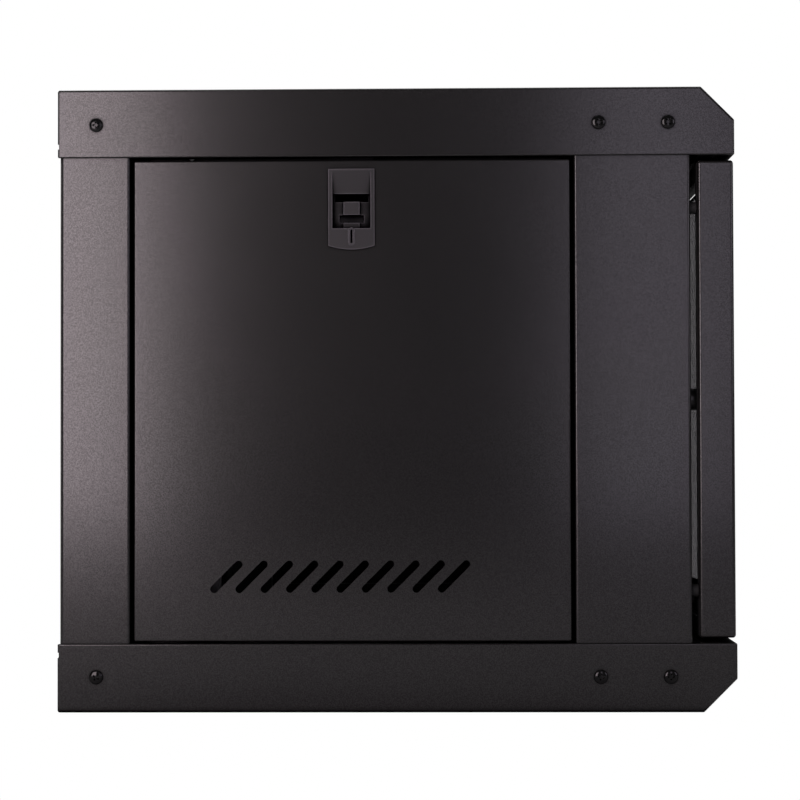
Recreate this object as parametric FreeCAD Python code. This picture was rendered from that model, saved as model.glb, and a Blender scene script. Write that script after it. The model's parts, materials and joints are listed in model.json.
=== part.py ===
"""Wall mount network cabinet: folded sheet covers, posts, rails, lift-off side panels and a glass door.

Millimetres, +Z up, front towards -Y. The origin is the middle of the footprint, on the base.
Each piece is written to parts/NODE.step in its place at rest.
"""
import FreeCAD, Part
import math
import os

V = FreeCAD.Vector

# Overall size
WIDTH = 600.0  # over the cover skirts
DEPTH = 550.0  # over the covers
HEIGHT = 506.0  # over the covers

# Sheets
COVER_SHEET = 1.2
POST_SHEET = 1.5
PANEL_SHEET = 1.0
BACK_SHEET = 1.2
BRACKET_SHEET = 2.0
RAIL_SHEET = 2.0
DOOR_SHEET = 1.2
BEND = 0.8  # inside radius of a fold

# Covers
COVER_HEIGHT = 55.5
COVER_CHAMFER = 27.0
LIP_RADIUS = 1.1
COVER_LIP = 28.0  # front fold that carries the hinge pins
COVER_SIDE_LIP = 11.6  # side fold that carries the side panel
COVER_REAR_FLANGE = 44.0
RELIEF_LENGTH = 4.5
RELIEF_DEPTH = 1.2

# Posts
FRONT_POST_WIDTH = 94.3
REAR_POST_WIDTH = 56.3
POST_FLANGE = 20.8
FRONT_POST_RETURN = 19.0
REAR_POST_RETURN = 22.0
REBATE_LIP = 12.0  # ledge on which the side panel's edge rests
BACK_GAP = 0.5  # between the back panel and the rear flange of a cover
POST_END_GAP = 1.0

# Side panels
PANEL_FLANGE = 12.0
PANEL_SIDE_GAP = 3.0
PANEL_SILL_GAP = 1.7
PANEL_HEAD_GAP = 2.7
PANEL_EDGE_RADIUS = 1.5
SEAT_GAP = 0.3  # between pieces that rest on each other and part when used
HOOK_WIDTH = 24.0
HOOK_SHOULDER = 5.0
HOOK_DROP = 10.0
HOOK_INSET = 5.0
HOOK_SHEET = 1.2
HOOK_SPACING = 240.0
HOOK_SLOT = 5.5

# Vent slots of the side panels
VENT_COUNT = 10
VENT_PITCH = 20.5
VENT_WIDTH = 6.3
VENT_LENGTH = 34.5
VENT_ANGLE = 45.0
VENT_HEIGHT = 52.4  # row centre above the panel's lower edge
VENT_OFFSET = 9.9  # row centre from the panel's centre line

# Slide latch of a side panel
LATCH_WIDTH = 37.5
LATCH_HEIGHT = 62.5
LATCH_BOW = 3.1
LATCH_TOP_GAP = 7.3
LATCH_PROUD = 1.0
LATCH_BODY_WIDTH = 35.5
LATCH_BODY_DEPTH = 13.0
LATCH_WALL = 1.9
WINDOW_SILL = 1.4
POCKET_TOP = 26.6
POCKET_BOTTOM = 48.5
SLOPE_BOTTOM = 20.0
SLOPE_DEPTH = 3.2
TONGUE_WIDTH = 35.7
TONGUE_HEAD = 6.1
TONGUE_PLATE = 2.5
TONGUE_INSET = 5.2  # plate behind the panel's face
TONGUE_TIP_GAP = 0.4
TONGUE_SLOPE = 4.4
SLIDER_STRIP = 2.0  # plate left beside the opening above the grip
GRIP_WIDTH = 13.0
GRIP_HEIGHT = 10.5
GRIP_RISE = 3.2
THUMB_WIDTH = 20.0
THUMB_HEIGHT = 6.5
THUMB_DEPTH = 2.1
KEY_SLOT_WIDTH = 1.9
KEY_SLOT_LENGTH = 11.2
KEY_RIM = 1.6
KEY_RIM_RISE = 0.35
LATCH_FIT = 0.25
LEAF_SHEET = 0.4

# Glass door
DOOR_DEPTH = 29.3
DOOR_INSET = 0.7
DOOR_POST_GAP = 6.0
DOOR_END_GAP = 4.1
DOOR_SIDE_GAP = 3.0
DOOR_EDGE_RADIUS = 2.6
DOOR_RETURN = 16.0
STILE = 57.0
DOOR_RAIL = 33.0  # lower rail; the glass reaches up to the top lip
TOP_LIP = 4.0
GLASS_SHEET = 4.0
GLASS_OVERLAP = 12.0
SEAL_SHEET = 1.0
SEAL_WIDTH = 9.0
CLIP_WIDTH = 14.0
CLIP_SHEET = 1.2
CLIP_FOOT = 12.0
CLIP_FINGER = 7.0
STUD_LENGTH = 6.0
WINDOW_CORNER = 4.0
GLASS_CORNER = 5.0
CLIP_SPREAD = 0.62  # outer clips of the lower rail, as a share of the glass's half width
CLIP_RISES = (-140.0, -50.0, 50.0, 140.0)  # side clips, from the middle height
STUD_RADIUS = 2.0
BUFFER_RADIUS = 5.0
BUFFER_HEIGHT = 38.0  # from the door's end

# Hinge pins
HINGE_INSET = 10.0
PIN_RADIUS = 3.0
PIN_FIT = 0.075
PIN_REACH = 5.0
PIN_TAIL = 11.0  # below the guide's upper face
COLLAR_RADIUS = 5.0
COLLAR_HEIGHT = 3.0
GUIDE_DROP = 32.0
GUIDE_SHEET = 2.0
BUSH_RADIUS = 6.5
BUSH_NECK = 4.6
SPRING_WIRE = 0.5
SPRING_COILS = 6
HINGE_FROM_BACK = 13.0

# Lock
LOCK_INSET = 32.0
LOCK_RADIUS = 9.0
LOCK_BEZEL = 11.0
LOCK_RECESS = 2.0
LOCK_PLUG = 6.9
LOCK_FIT = 0.1
LOCK_NUT = 12.5  # to its corners
LOCK_NUT_HEIGHT = 5.0
CAM_LENGTH = 30.0
CAM_WIDTH = 16.0
CAM_SHEET = 2.5
CAM_SQUARE = 8.0
CAM_CLEARANCE = 1.3

# Rack rails
RACK_UNITS = 9
RACK_UNIT = 44.45
RAIL_HOLE_SPACING = 465.1
RAIL_OPENING = 450.0
RAIL_HOLE = 9.5
RAIL_HOLE_RISE = (6.35, 22.225, 38.1)  # hole centres within one unit
RAIL_WEB = 45.0
RAIL_BACK = 12.0
RAIL_END = 20.0
FRONT_RAIL_SETBACK = 34.0
FRONT_RAIL_TRAVEL = 100.0
REAR_RAIL_SETBACK = 82.0
REAR_RAIL_TRAVEL = 150.0
RUN_GAP = 0.3

# Depth brackets
BRACKET_HEIGHT = 40.0
BRACKET_FLANGE = 6.0
BRACKET_RISE = 30.0  # from the base to the bracket's lower edge

# Back panel
BACK_INSET = 14.0
BACK_SIDE_INSET = 4.0
WALL_HOLE_SPACING_X = 500.0
WALL_HOLE_SPACING_Z = 350.0
WALL_HOLE_RADIUS = 5.0
BACK_SCREW_ROWS = 3
BACK_SCREW_INSET = 15.5

# Cable entries and fan places
CABLE_LENGTH = 300.0
EARTH_REACH = 35.0
EARTH_LENGTH = 16.0
CABLE_WIDTH = 60.0
CABLE_FROM_BACK = 70.0
CABLE_PLATE_OVERLAP = 10.0
FAN_SPACING = 105.0
FAN_RADIUS = 55.0
FAN_OFFSET = 120.0
FAN_HOLE_RADIUS = 2.2
GRILLE_SLOT = 5.0
GRILLE_PITCH = 11.0

# Fasteners
SCREW_RADIUS = 3.0
SCREW_HEAD_RADIUS = 5.5
SCREW_HEAD = 2.3
SCREW_HOLE = 0.2  # radial clearance
SCREW_LENGTH = 10.0
SCREW_HEIGHT = 28.8  # from the cover's outer face
REAR_SCREW_FROM_BACK = 31.7
FRONT_SCREWS_FROM_BACK = (440.0, 496.3)
NUT_RADIUS = 5.8
NUT_HEIGHT = 4.0
SMALL_SCREW_RADIUS = 2.0
SMALL_HEAD_RADIUS = 3.8
LOW_HEAD = 1.0

# Places worked out from the sizes above
FRONT = -DEPTH / 2
BACK = DEPTH / 2
SIDE = WIDTH / 2 - COVER_SHEET  # outer plane of posts and side panels
COVER_RADIUS = BEND + COVER_SHEET
POST_FRONT = FRONT + DOOR_INSET + DOOR_DEPTH + DOOR_POST_GAP
POST_BACK = BACK - COVER_SHEET - BACK_GAP - BACK_SHEET
FRONT_POST_EDGE = POST_FRONT + FRONT_POST_WIDTH
REAR_POST_EDGE = POST_BACK - REAR_POST_WIDTH
POST_INNER = SIDE - POST_FLANGE  # plane on which the depth brackets are bolted
LEDGE = SIDE - PANEL_FLANGE - SEAT_GAP
PANEL_FRONT = FRONT_POST_EDGE + PANEL_SIDE_GAP
PANEL_BACK = REAR_POST_EDGE - PANEL_SIDE_GAP
PANEL_MIDDLE = (PANEL_FRONT + PANEL_BACK) / 2
PANEL_BOTTOM = COVER_HEIGHT + PANEL_SILL_GAP
PANEL_TOP = HEIGHT - COVER_HEIGHT - PANEL_HEAD_GAP
LATCH_TOP = PANEL_TOP - LATCH_TOP_GAP
DOOR_FRONT = FRONT + DOOR_INSET
DOOR_BACK = DOOR_FRONT + DOOR_DEPTH
DOOR_X = WIDTH / 2 - DOOR_SIDE_GAP
DOOR_BOTTOM = COVER_HEIGHT + DOOR_END_GAP
DOOR_TOP = HEIGHT - COVER_HEIGHT - DOOR_END_GAP
GLASS_FRONT = DOOR_FRONT + DOOR_SHEET + SEAL_SHEET
HINGE_X = DOOR_X - HINGE_INSET
HINGE_Y = DOOR_BACK - HINGE_FROM_BACK
LOCK_X = -(DOOR_X - LOCK_INSET)
MIDDLE_Z = HEIGHT / 2
BRACKET_FACE = POST_INNER - BRACKET_SHEET  # inner face of a depth bracket
RAIL_X = BRACKET_FACE - RUN_GAP  # outer face of a rail's web
FRONT_RAIL_Y = POST_FRONT + FRONT_RAIL_SETBACK
REAR_RAIL_Y = POST_BACK - REAR_RAIL_SETBACK
RAIL_BOTTOM = MIDDLE_Z - RACK_UNITS * RACK_UNIT / 2 - RAIL_END
RAIL_TOP = MIDDLE_Z + RACK_UNITS * RACK_UNIT / 2 + RAIL_END
BRACKET_MIDDLES = (BRACKET_RISE + BRACKET_HEIGHT / 2, HEIGHT - BRACKET_RISE - BRACKET_HEIGHT / 2)
CABLE_MIDDLE = BACK - CABLE_FROM_BACK


# ---- Shapes that repeat ----

def box(x0, x1, y0, y1, z0, z1):
    return Part.makeBox(x1 - x0, y1 - y0, z1 - z0, V(x0, y0, z0))


def rod(radius, length, at, along):
    return Part.makeCylinder(radius, length, at, along)


def mirror_x(shape):
    return shape.mirror(V(0, 0, 0), V(1, 0, 0))


def mirror_z(shape):
    return shape.mirror(V(0, 0, MIDDLE_Z), V(0, 0, 1))


def both_sides(shape):
    return [shape, mirror_x(shape)]


def joined(shapes):
    return shapes[0].multiFuse(shapes[1:]).removeSplitter()


def group(shapes):
    solids = [solid for shape in shapes for solid in shape.Solids]
    return Part.makeCompound(solids)


def prism(points, vector):
    """Solid on a flat closed outline."""
    return Part.Face(Part.makePolygon(points + points[:1])).extrude(vector)


def shifted_path(points, distance):
    """The open path, moved to its left by distance with its corners mitred."""
    normals = []
    for (x0, y0), (x1, y1) in zip(points, points[1:]):
        length = math.hypot(x1 - x0, y1 - y0)
        normals.append(((y0 - y1) / length, (x1 - x0) / length))
    shifted = []
    for i, (x, y) in enumerate(points):
        before = normals[max(i - 1, 0)]
        after = normals[min(i, len(normals) - 1)]
        scale = distance / (1 + before[0] * after[0] + before[1] * after[1])
        shifted.append((x + scale * (before[0] + after[0]), y + scale * (before[1] + after[1])))
    return shifted


def upright_edges(solid, corners):
    """Edges along Z that stand on the given XY corners."""
    found = []
    for edge in solid.Edges:
        first, last = edge.Vertexes[0].Point, edge.Vertexes[-1].Point
        for x, y in corners:
            on_corner = abs(first.x - x) < 0.01 and abs(first.y - y) < 0.01
            if on_corner and abs(last.x - x) < 0.01 and abs(last.y - y) < 0.01:
                found.append(edge)
    return found


def folded_sheet(path, sheet, bottom, top):
    """Sheet folded along a path in XY, its thickness to the path's left, standing from bottom to top."""
    inner = shifted_path(path, sheet)
    outline = [V(x, y, bottom) for x, y in path + inner[::-1]]
    solid = prism(outline, V(0, 0, top - bottom))
    wide, tight = [], []
    for i in range(1, len(path) - 1):
        (x0, y0), (x1, y1), (x2, y2) = path[i - 1:i + 2]
        turns_left = (x1 - x0) * (y2 - y1) - (y1 - y0) * (x2 - x1) > 0
        wide.append(path[i] if turns_left else inner[i])
        tight.append(inner[i] if turns_left else path[i])
    solid = solid.makeFillet(BEND + sheet, upright_edges(solid, wide))
    return solid.makeFillet(BEND, upright_edges(solid, tight))


def round_slot(width, length, depth, at, along, into):
    """Solid of a slot with round ends: its middle, long direction and depth direction are given."""
    half = (length - width) / 2
    across = into.cross(along)
    ends = [at - along * half, at + along * half]
    side = across * (width / 2)
    tip = along * (width / 2)
    edges = [
        Part.makeLine(ends[0] + side, ends[1] + side),
        Part.Arc(ends[1] + side, ends[1] + tip, ends[1] - side).toShape(),
        Part.makeLine(ends[1] - side, ends[0] - side),
        Part.Arc(ends[0] - side, ends[0] - tip, ends[0] + side).toShape(),
    ]
    return Part.Face(Part.Wire(edges)).extrude(into * depth)


def hexagon(radius, height, at, along):
    """Hexagonal prism, radius to its corners."""
    across = V(0, 0, 1) if abs(along.z) < 0.5 else V(1, 0, 0)
    other = along.cross(across)
    corners = []
    for i in range(6):
        angle = math.radians(60 * i)
        corners.append(at + across * (radius * math.cos(angle)) + other * (radius * math.sin(angle)))
    return prism(corners, along * height)


def pan_screw(at, along, length, radius, head_radius, head):
    """Screw under its head at a point, pointing along; the head has a rounded rim and a cross."""
    top = rod(head_radius, head, at - along * head, along)
    rim = [e for e in top.Edges if abs((e.CenterOfMass - at).dot(along) + head) < 0.01 and e.Length > 1]
    top = top.makeFillet(head * 0.55, rim)
    across = V(0, 0, 1) if abs(along.z) < 0.5 else V(1, 0, 0)
    other = along.cross(across)
    reach, half = head_radius * 0.5, head_radius * 0.1
    for a, b in ((across, other), (other, across)):
        arm = [a * reach + b * half, a * reach - b * half, a * -reach - b * half, a * -reach + b * half]
        top = top.cut(prism([at - along * head + corner for corner in arm], along * (head * 0.6)))
    return top.fuse(rod(radius, length, at, along))


def plain_nut(at, along, radius, height, bore):
    return hexagon(radius, height, at, along).cut(rod(bore, height, at, along))


# ---- Covers ----

def cover_block(inset, radius):
    """Solid block of the bottom cover's outline, drawn in by inset, open face upwards."""
    top = COVER_HEIGHT + (1.0 if inset else 0.0)
    path = [
        (FRONT, top), (FRONT, COVER_CHAMFER), (FRONT + COVER_CHAMFER, 0.0), (BACK, 0.0), (BACK, top),
    ]
    outline = shifted_path(path, inset)
    half = WIDTH / 2 - inset
    solid = prism([V(-half, y, z) for y, z in outline], V(2 * half, 0, 0))
    folds = [e for e in solid.Edges if min(v.Point.z for v in e.Vertexes) < top - 0.01]
    return solid.makeFillet(radius, folds)


def cover_screw_places():
    """Heights and depths of the screws in one skirt of the bottom cover."""
    ys = [BACK - REAR_SCREW_FROM_BACK] + [BACK - distance for distance in FRONT_SCREWS_FROM_BACK]
    return [(y, SCREW_HEIGHT) for y in ys]


def hook_places():
    return [PANEL_MIDDLE - HOOK_SPACING / 2, PANEL_MIDDLE + HOOK_SPACING / 2]


def side_lip():
    """Inward fold of the left skirt between the posts, with slots for the hooks and the latch tongue."""
    edge = COVER_HEIGHT
    lip = box(-SIDE, -SIDE + COVER_SIDE_LIP, FRONT_POST_EDGE, REAR_POST_EDGE, edge - COVER_SHEET, edge)
    inner = -SIDE + HOOK_INSET - SCREW_HOLE * 2
    for y in hook_places():
        half = HOOK_WIDTH / 2 - HOOK_SHOULDER + 1.0
        lip = lip.cut(box(inner, inner + HOOK_SLOT, y - half, y + half, 0, edge + 1))
    half = TONGUE_WIDTH / 2 + 0.6
    outer = -SIDE + TONGUE_INSET + TONGUE_PLATE - TONGUE_HEAD
    return lip.cut(box(
        outer - 0.7, outer + TONGUE_HEAD + 0.7, PANEL_MIDDLE - half, PANEL_MIDDLE + half, 0, edge + 1))


def bottom_cover():
    """Folded tray with chamfered front, lips, rear flange, screw holes, hinge holes and cable entry."""
    cover = cover_block(0.0, COVER_RADIUS).cut(cover_block(COVER_SHEET, BEND))
    edge = COVER_HEIGHT
    cover = cover.cut(box(-SIDE, SIDE, BACK - 2 * COVER_SHEET, BACK + 1, COVER_REAR_FLANGE, edge + 1))
    front_lip = box(-SIDE, SIDE, FRONT + COVER_SHEET / 2, FRONT + COVER_LIP, edge - COVER_SHEET, edge)
    cover = joined([cover, front_lip] + both_sides(side_lip()))
    fold = [e for e in cover.Edges if abs(e.CenterOfMass.y - FRONT) < 0.01 and e.CenterOfMass.z > edge - 0.01]
    cover = cover.makeFillet(LIP_RADIUS, fold)
    cuts = []
    for x in (-HINGE_X, HINGE_X):
        at = V(x, HINGE_Y, edge - 2 * COVER_SHEET)
        cuts.append(rod(PIN_RADIUS + PIN_FIT, 3 * COVER_SHEET, at, V(0, 0, 1)))
    for y, z in cover_screw_places():
        cuts.append(rod(SCREW_RADIUS + SCREW_HOLE, WIDTH + 2, V(-WIDTH / 2 - 1, y, z), V(1, 0, 0)))
    relief = COVER_REAR_FLANGE + RELIEF_LENGTH
    cuts.append(box(-WIDTH, WIDTH, BACK - RELIEF_DEPTH, BACK + 1, COVER_REAR_FLANGE, relief))
    half = CABLE_LENGTH / 2
    width = CABLE_WIDTH / 2
    cuts.append(box(-half, half, CABLE_MIDDLE - width, CABLE_MIDDLE + width, -1, COVER_SHEET + 1))
    for x, y in cable_screw_places():
        cuts.append(rod(SMALL_SCREW_RADIUS, 4, V(x, y, -1), V(0, 0, 1)))
    return cover.cut(Part.makeCompound(cuts))


def fan_grille(x, y):
    """Round field of slanted slots with four screw holes, as a cutting solid through the top."""
    along = V(math.sqrt(0.5), math.sqrt(0.5), 0)
    across = V(-along.y, along.x, 0)
    below = HEIGHT - 2 * COVER_SHEET
    rows = int(FAN_RADIUS // GRILLE_PITCH)
    cuts = []
    for row in range(-rows + 1, rows):
        shift = row * GRILLE_PITCH
        chord = 2 * math.sqrt(FAN_RADIUS ** 2 - shift ** 2)
        middle = V(x, y, below) + across * shift
        cuts.append(round_slot(GRILLE_SLOT, chord, 3 * COVER_SHEET, middle, along, V(0, 0, 1)))
    half = FAN_SPACING / 2
    for dx, dy in ((-half, -half), (half, -half), (half, half), (-half, half)):
        cuts.append(rod(FAN_HOLE_RADIUS, 3 * COVER_SHEET, V(x + dx, y + dy, below), V(0, 0, 1)))
    return cuts


def top_cover(bottom):
    cuts = fan_grille(-FAN_OFFSET, 0) + fan_grille(FAN_OFFSET, 0)
    return mirror_z(bottom).cut(Part.makeCompound(cuts))


def cable_screw_places():
    half = CABLE_LENGTH / 2 - CABLE_PLATE_OVERLAP
    reach = CABLE_WIDTH / 2 + CABLE_PLATE_OVERLAP / 2
    return [(x, CABLE_MIDDLE + y) for x in (-half, half) for y in (-reach, reach)]


def cable_plate():
    """Blanking plate on the inner side of the bottom cable entry."""
    half = CABLE_LENGTH / 2 + CABLE_PLATE_OVERLAP
    reach = CABLE_WIDTH / 2 + CABLE_PLATE_OVERLAP
    low = COVER_SHEET
    plate = box(-half, half, CABLE_MIDDLE - reach, CABLE_MIDDLE + reach, low, low + COVER_SHEET)
    corners = upright_edges(plate, [(x, CABLE_MIDDLE + y) for x in (-half, half) for y in (-reach, reach)])
    plate = plate.makeFillet(3.0, corners)
    for x, y in cable_screw_places():
        plate = plate.cut(rod(SMALL_SCREW_RADIUS + 0.1, 4, V(x, y, 0), V(0, 0, 1)))
    return plate


def cable_plate_screws():
    screws = []
    for x, y in cable_screw_places():
        at = V(x, y, 2 * COVER_SHEET)
        length = 2 * COVER_SHEET - 0.2
        screws.append(pan_screw(at, V(0, 0, -1), length, SMALL_SCREW_RADIUS - 0.05, SMALL_HEAD_RADIUS, 1.8))
    return screws


# ---- Posts and back ----

def post_span():
    inset = COVER_SHEET + BEND + POST_END_GAP
    return inset, HEIGHT - inset


def screw_holes_through_post(post):
    for y, z in cover_screw_places():
        for height in (z, HEIGHT - z):
            post = post.cut(rod(SCREW_RADIUS + SCREW_HOLE, 12, V(-SIDE - 1, y, height), V(1, 0, 0)))
    return post


def bracket_bolt_places():
    """Y and Z of the bolts that hold the depth brackets to the posts."""
    front = POST_FRONT + FRONT_POST_RETURN / 2 + 1.0
    back = POST_BACK - REAR_POST_RETURN / 2
    return [(y, z) for y in (front, back) for z in BRACKET_MIDDLES]


def bracket_holes(shape):
    for y, z in bracket_bolt_places():
        shape = shape.cut(rod(SCREW_RADIUS + SCREW_HOLE, 12, V(-POST_INNER - 6, y, z), V(1, 0, 0)))
    return shape


def front_post():
    """Left front post: panel rebate, side face, front flange and bracket return with the cam slot."""
    path = [
        (-LEDGE, FRONT_POST_EDGE + REBATE_LIP), (-LEDGE, FRONT_POST_EDGE), (-SIDE, FRONT_POST_EDGE),
        (-SIDE, POST_FRONT), (-POST_INNER, POST_FRONT), (-POST_INNER, POST_FRONT + FRONT_POST_RETURN),
    ]
    bottom, top = post_span()
    post = folded_sheet(path, POST_SHEET, bottom, top)
    half = CAM_LENGTH
    start = POST_FRONT + POST_SHEET + 0.2
    stop = start + CAM_CLEARANCE + CAM_SHEET + 4
    post = post.cut(box(-POST_INNER - 4, -POST_INNER + 1, start, stop, MIDDLE_Z - half, MIDDLE_Z + half))
    return bracket_holes(screw_holes_through_post(post))


def rear_post():
    """Left rear post: bracket return, rear flange, side face and panel rebate."""
    path = [
        (-POST_INNER, POST_BACK - REAR_POST_RETURN), (-POST_INNER, POST_BACK), (-SIDE, POST_BACK),
        (-SIDE, REAR_POST_EDGE), (-LEDGE, REAR_POST_EDGE), (-LEDGE, REAR_POST_EDGE - REBATE_LIP),
    ]
    bottom, top = post_span()
    post = folded_sheet(path, POST_SHEET, bottom, top)
    for _, z in back_screw_places():
        post = post.cut(rod(SMALL_SCREW_RADIUS + SCREW_HOLE, 8, V(-back_screw_x(), BACK, z), V(0, -1, 0)))
    return bracket_holes(screw_holes_through_post(post))


def back_screw_x():
    return SIDE - BACK_SCREW_INSET


def back_screw_places():
    low, high = COVER_HEIGHT + 20, HEIGHT - COVER_HEIGHT - 20
    step = (high - low) / (BACK_SCREW_ROWS - 1)
    heights = [low + step * i for i in range(BACK_SCREW_ROWS)]
    return [(x, z) for x in (-back_screw_x(), back_screw_x()) for z in heights]


def back_panel():
    """Flat back with four wall holes and its screw holes."""
    half = SIDE - BACK_SIDE_INSET
    plate = box(-half, half, POST_BACK, POST_BACK + BACK_SHEET, BACK_INSET, HEIGHT - BACK_INSET)
    cuts = []
    for x, z in back_screw_places():
        cuts.append(rod(SMALL_SCREW_RADIUS + SCREW_HOLE, 5, V(x, POST_BACK - 1, z), V(0, 1, 0)))
    for x in (-WALL_HOLE_SPACING_X / 2, WALL_HOLE_SPACING_X / 2):
        for z in (-WALL_HOLE_SPACING_Z / 2, WALL_HOLE_SPACING_Z / 2):
            cuts.append(rod(WALL_HOLE_RADIUS, 5, V(x, POST_BACK - 1, MIDDLE_Z + z), V(0, 1, 0)))
    return plate.cut(Part.makeCompound(cuts))


def back_panel_screws():
    outer = POST_BACK + BACK_SHEET
    screws = []
    for x, z in back_screw_places():
        at = V(x, outer, z)
        screws.append(pan_screw(at, V(0, -1, 0), 8.0, SMALL_SCREW_RADIUS, SMALL_HEAD_RADIUS, LOW_HEAD))
    return screws


def cover_screws():
    screws = []
    for y, z in cover_screw_places():
        for height in (z, HEIGHT - z):
            at = V(-WIDTH / 2, y, height)
            screw = pan_screw(at, V(1, 0, 0), SCREW_LENGTH, SCREW_RADIUS, SCREW_HEAD_RADIUS, SCREW_HEAD)
            screws += both_sides(screw)
    return screws


def clinch_nuts():
    """Round nuts pressed behind the posts' side faces, one for each cover screw."""
    nuts = []
    for y, z in cover_screw_places():
        for height in (z, HEIGHT - z):
            at = V(-SIDE + POST_SHEET, y, height)
            nut = rod(NUT_RADIUS, NUT_HEIGHT, at, V(1, 0, 0))
            nut = nut.cut(rod(SCREW_RADIUS + 0.05, NUT_HEIGHT, at, V(1, 0, 0)))
            nuts += both_sides(nut)
    return nuts


# ---- Depth brackets and rack rails ----

def rail_bolt_y(rail_y, facing):
    return rail_y - facing * RAIL_WEB / 2


def lower_bracket():
    """Left lower depth bracket: an angle with two long slots in which the rails are set."""
    low = BRACKET_RISE
    front, back = POST_FRONT + 3.0, POST_BACK - 3.0
    web = box(-POST_INNER, -BRACKET_FACE, front, back, low, low + BRACKET_HEIGHT)
    flange_front = POST_FRONT + FRONT_POST_RETURN + 1.0
    flange_back = POST_BACK - REAR_POST_RETURN - 1.0
    edge = -POST_INNER - BRACKET_FLANGE
    flange = box(edge, -POST_INNER, flange_front, flange_back, low, low + BRACKET_SHEET)
    bracket = web.fuse(flange).removeSplitter()
    middle = low + BRACKET_HEIGHT / 2
    spans = (
        (rail_bolt_y(FRONT_RAIL_Y, -1), FRONT_RAIL_TRAVEL),
        (rail_bolt_y(REAR_RAIL_Y, 1) - REAR_RAIL_TRAVEL, REAR_RAIL_TRAVEL),
    )
    width = 2 * (SCREW_RADIUS + RUN_GAP)
    for start, travel in spans:
        at = V(-POST_INNER - 1, start + travel / 2, middle)
        bracket = bracket.cut(round_slot(width, travel + width + 1.0, 5, at, V(0, 1, 0), V(1, 0, 0)))
    return bracket_holes(bracket)


def bracket_screws():
    """Bolts through the brackets and the posts' returns."""
    screws = []
    for y, z in bracket_bolt_places():
        at = V(-BRACKET_FACE, y, z)
        screws += both_sides(pan_screw(at, V(-1, 0, 0), 9.0, SCREW_RADIUS, SCREW_HEAD_RADIUS, 3.0))
    return screws


def bracket_nuts():
    nuts = []
    for y, z in bracket_bolt_places():
        at = V(-POST_INNER - POST_SHEET, y, z)
        nuts += both_sides(plain_nut(at, V(-1, 0, 0), NUT_RADIUS, NUT_HEIGHT, SCREW_RADIUS + 0.05))
    return nuts


def rack_rail(rail_y, facing):
    """Left rail: channel with three square holes in each unit; facing is -1 to the front, 1 to the back."""
    face = -RAIL_OPENING / 2
    turn = -facing
    path = [
        (face, rail_y), (-RAIL_X, rail_y), (-RAIL_X, rail_y + turn * RAIL_WEB),
        (-RAIL_X + RAIL_BACK, rail_y + turn * RAIL_WEB),
    ]
    if turn > 0:
        path.reverse()
    return folded_sheet(path, RAIL_SHEET, RAIL_BOTTOM, RAIL_TOP)


def square_holes(rail_y):
    holes = []
    half = RAIL_HOLE / 2
    x = -RAIL_HOLE_SPACING / 2
    first = MIDDLE_Z - RACK_UNITS * RACK_UNIT / 2
    for unit in range(RACK_UNITS):
        for rise in RAIL_HOLE_RISE:
            z = first + unit * RACK_UNIT + rise
            holes.append(box(x - half, x + half, rail_y - 3, rail_y + 3, z - half, z + half))
    return Part.makeCompound(holes)


def drilled_rail(rail_y, facing):
    rail = rack_rail(rail_y, facing).cut(square_holes(rail_y))
    for z in BRACKET_MIDDLES:
        at = V(-RAIL_X - 1, rail_bolt_y(rail_y, facing), z)
        rail = rail.cut(rod(SCREW_RADIUS + SCREW_HOLE, 6, at, V(1, 0, 0)))
    return rail


def rail_bolts(rail_y, facing):
    bolts = []
    for z in BRACKET_MIDDLES:
        at = V(-RAIL_X + RAIL_SHEET, rail_bolt_y(rail_y, facing), z)
        bolts.append(pan_screw(at, V(-1, 0, 0), SCREW_LENGTH, SCREW_RADIUS, SCREW_HEAD_RADIUS, 3.0))
    return bolts


def rail_nuts(rail_y, facing):
    nuts = []
    for z in BRACKET_MIDDLES:
        at = V(-POST_INNER - RUN_GAP, rail_bolt_y(rail_y, facing), z)
        nuts.append(plain_nut(at, V(-1, 0, 0), NUT_RADIUS, NUT_HEIGHT, SCREW_RADIUS + 0.05))
    return nuts


# ---- Side panels and latches ----

def panel_block(inset, radius):
    outer = -SIDE + inset
    inner = -SIDE + PANEL_FLANGE + (1.0 if inset else 0.0)
    block = box(
        outer, inner, PANEL_FRONT + inset, PANEL_BACK - inset, PANEL_BOTTOM + inset, PANEL_TOP - inset)
    folds = [e for e in block.Edges if min(v.Point.x for v in e.Vertexes) < inner - 0.01]
    return block.makeFillet(radius, folds)


def vent_slots():
    lean = math.radians(VENT_ANGLE)
    along = V(0, -math.cos(lean), math.sin(lean))
    slots = []
    for i in range(VENT_COUNT):
        y = PANEL_MIDDLE + VENT_OFFSET + (i - (VENT_COUNT - 1) / 2) * VENT_PITCH
        at = V(-SIDE - 1, y, PANEL_BOTTOM + VENT_HEIGHT)
        slots.append(round_slot(VENT_WIDTH, VENT_LENGTH, 4, at, along, V(1, 0, 0)))
    return slots


def panel_hook(y):
    """Hook plate under the panel: shoulders that rest on the sill and a tongue that drops through it."""
    low = COVER_HEIGHT + SEAT_GAP
    half = HOOK_WIDTH / 2
    neck = half - HOOK_SHOULDER
    top = PANEL_BOTTOM + PANEL_SHEET / 2
    points = [
        (-half, top), (-half, low), (-neck, low), (-neck, low - HOOK_DROP),
        (neck, low - HOOK_DROP), (neck, low), (half, low), (half, top),
    ]
    x = -SIDE + HOOK_INSET
    return prism([V(x, y + dy, z) for dy, z in points], V(HOOK_SHEET, 0, 0))


def tongue_slot():
    outer = -SIDE + TONGUE_INSET + TONGUE_PLATE - TONGUE_HEAD
    half = TONGUE_WIDTH / 2 + LATCH_FIT
    return box(
        outer - LATCH_FIT, outer + TONGUE_HEAD + LATCH_FIT,
        PANEL_MIDDLE - half, PANEL_MIDDLE + half, PANEL_TOP - 3, PANEL_TOP + 1)


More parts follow.
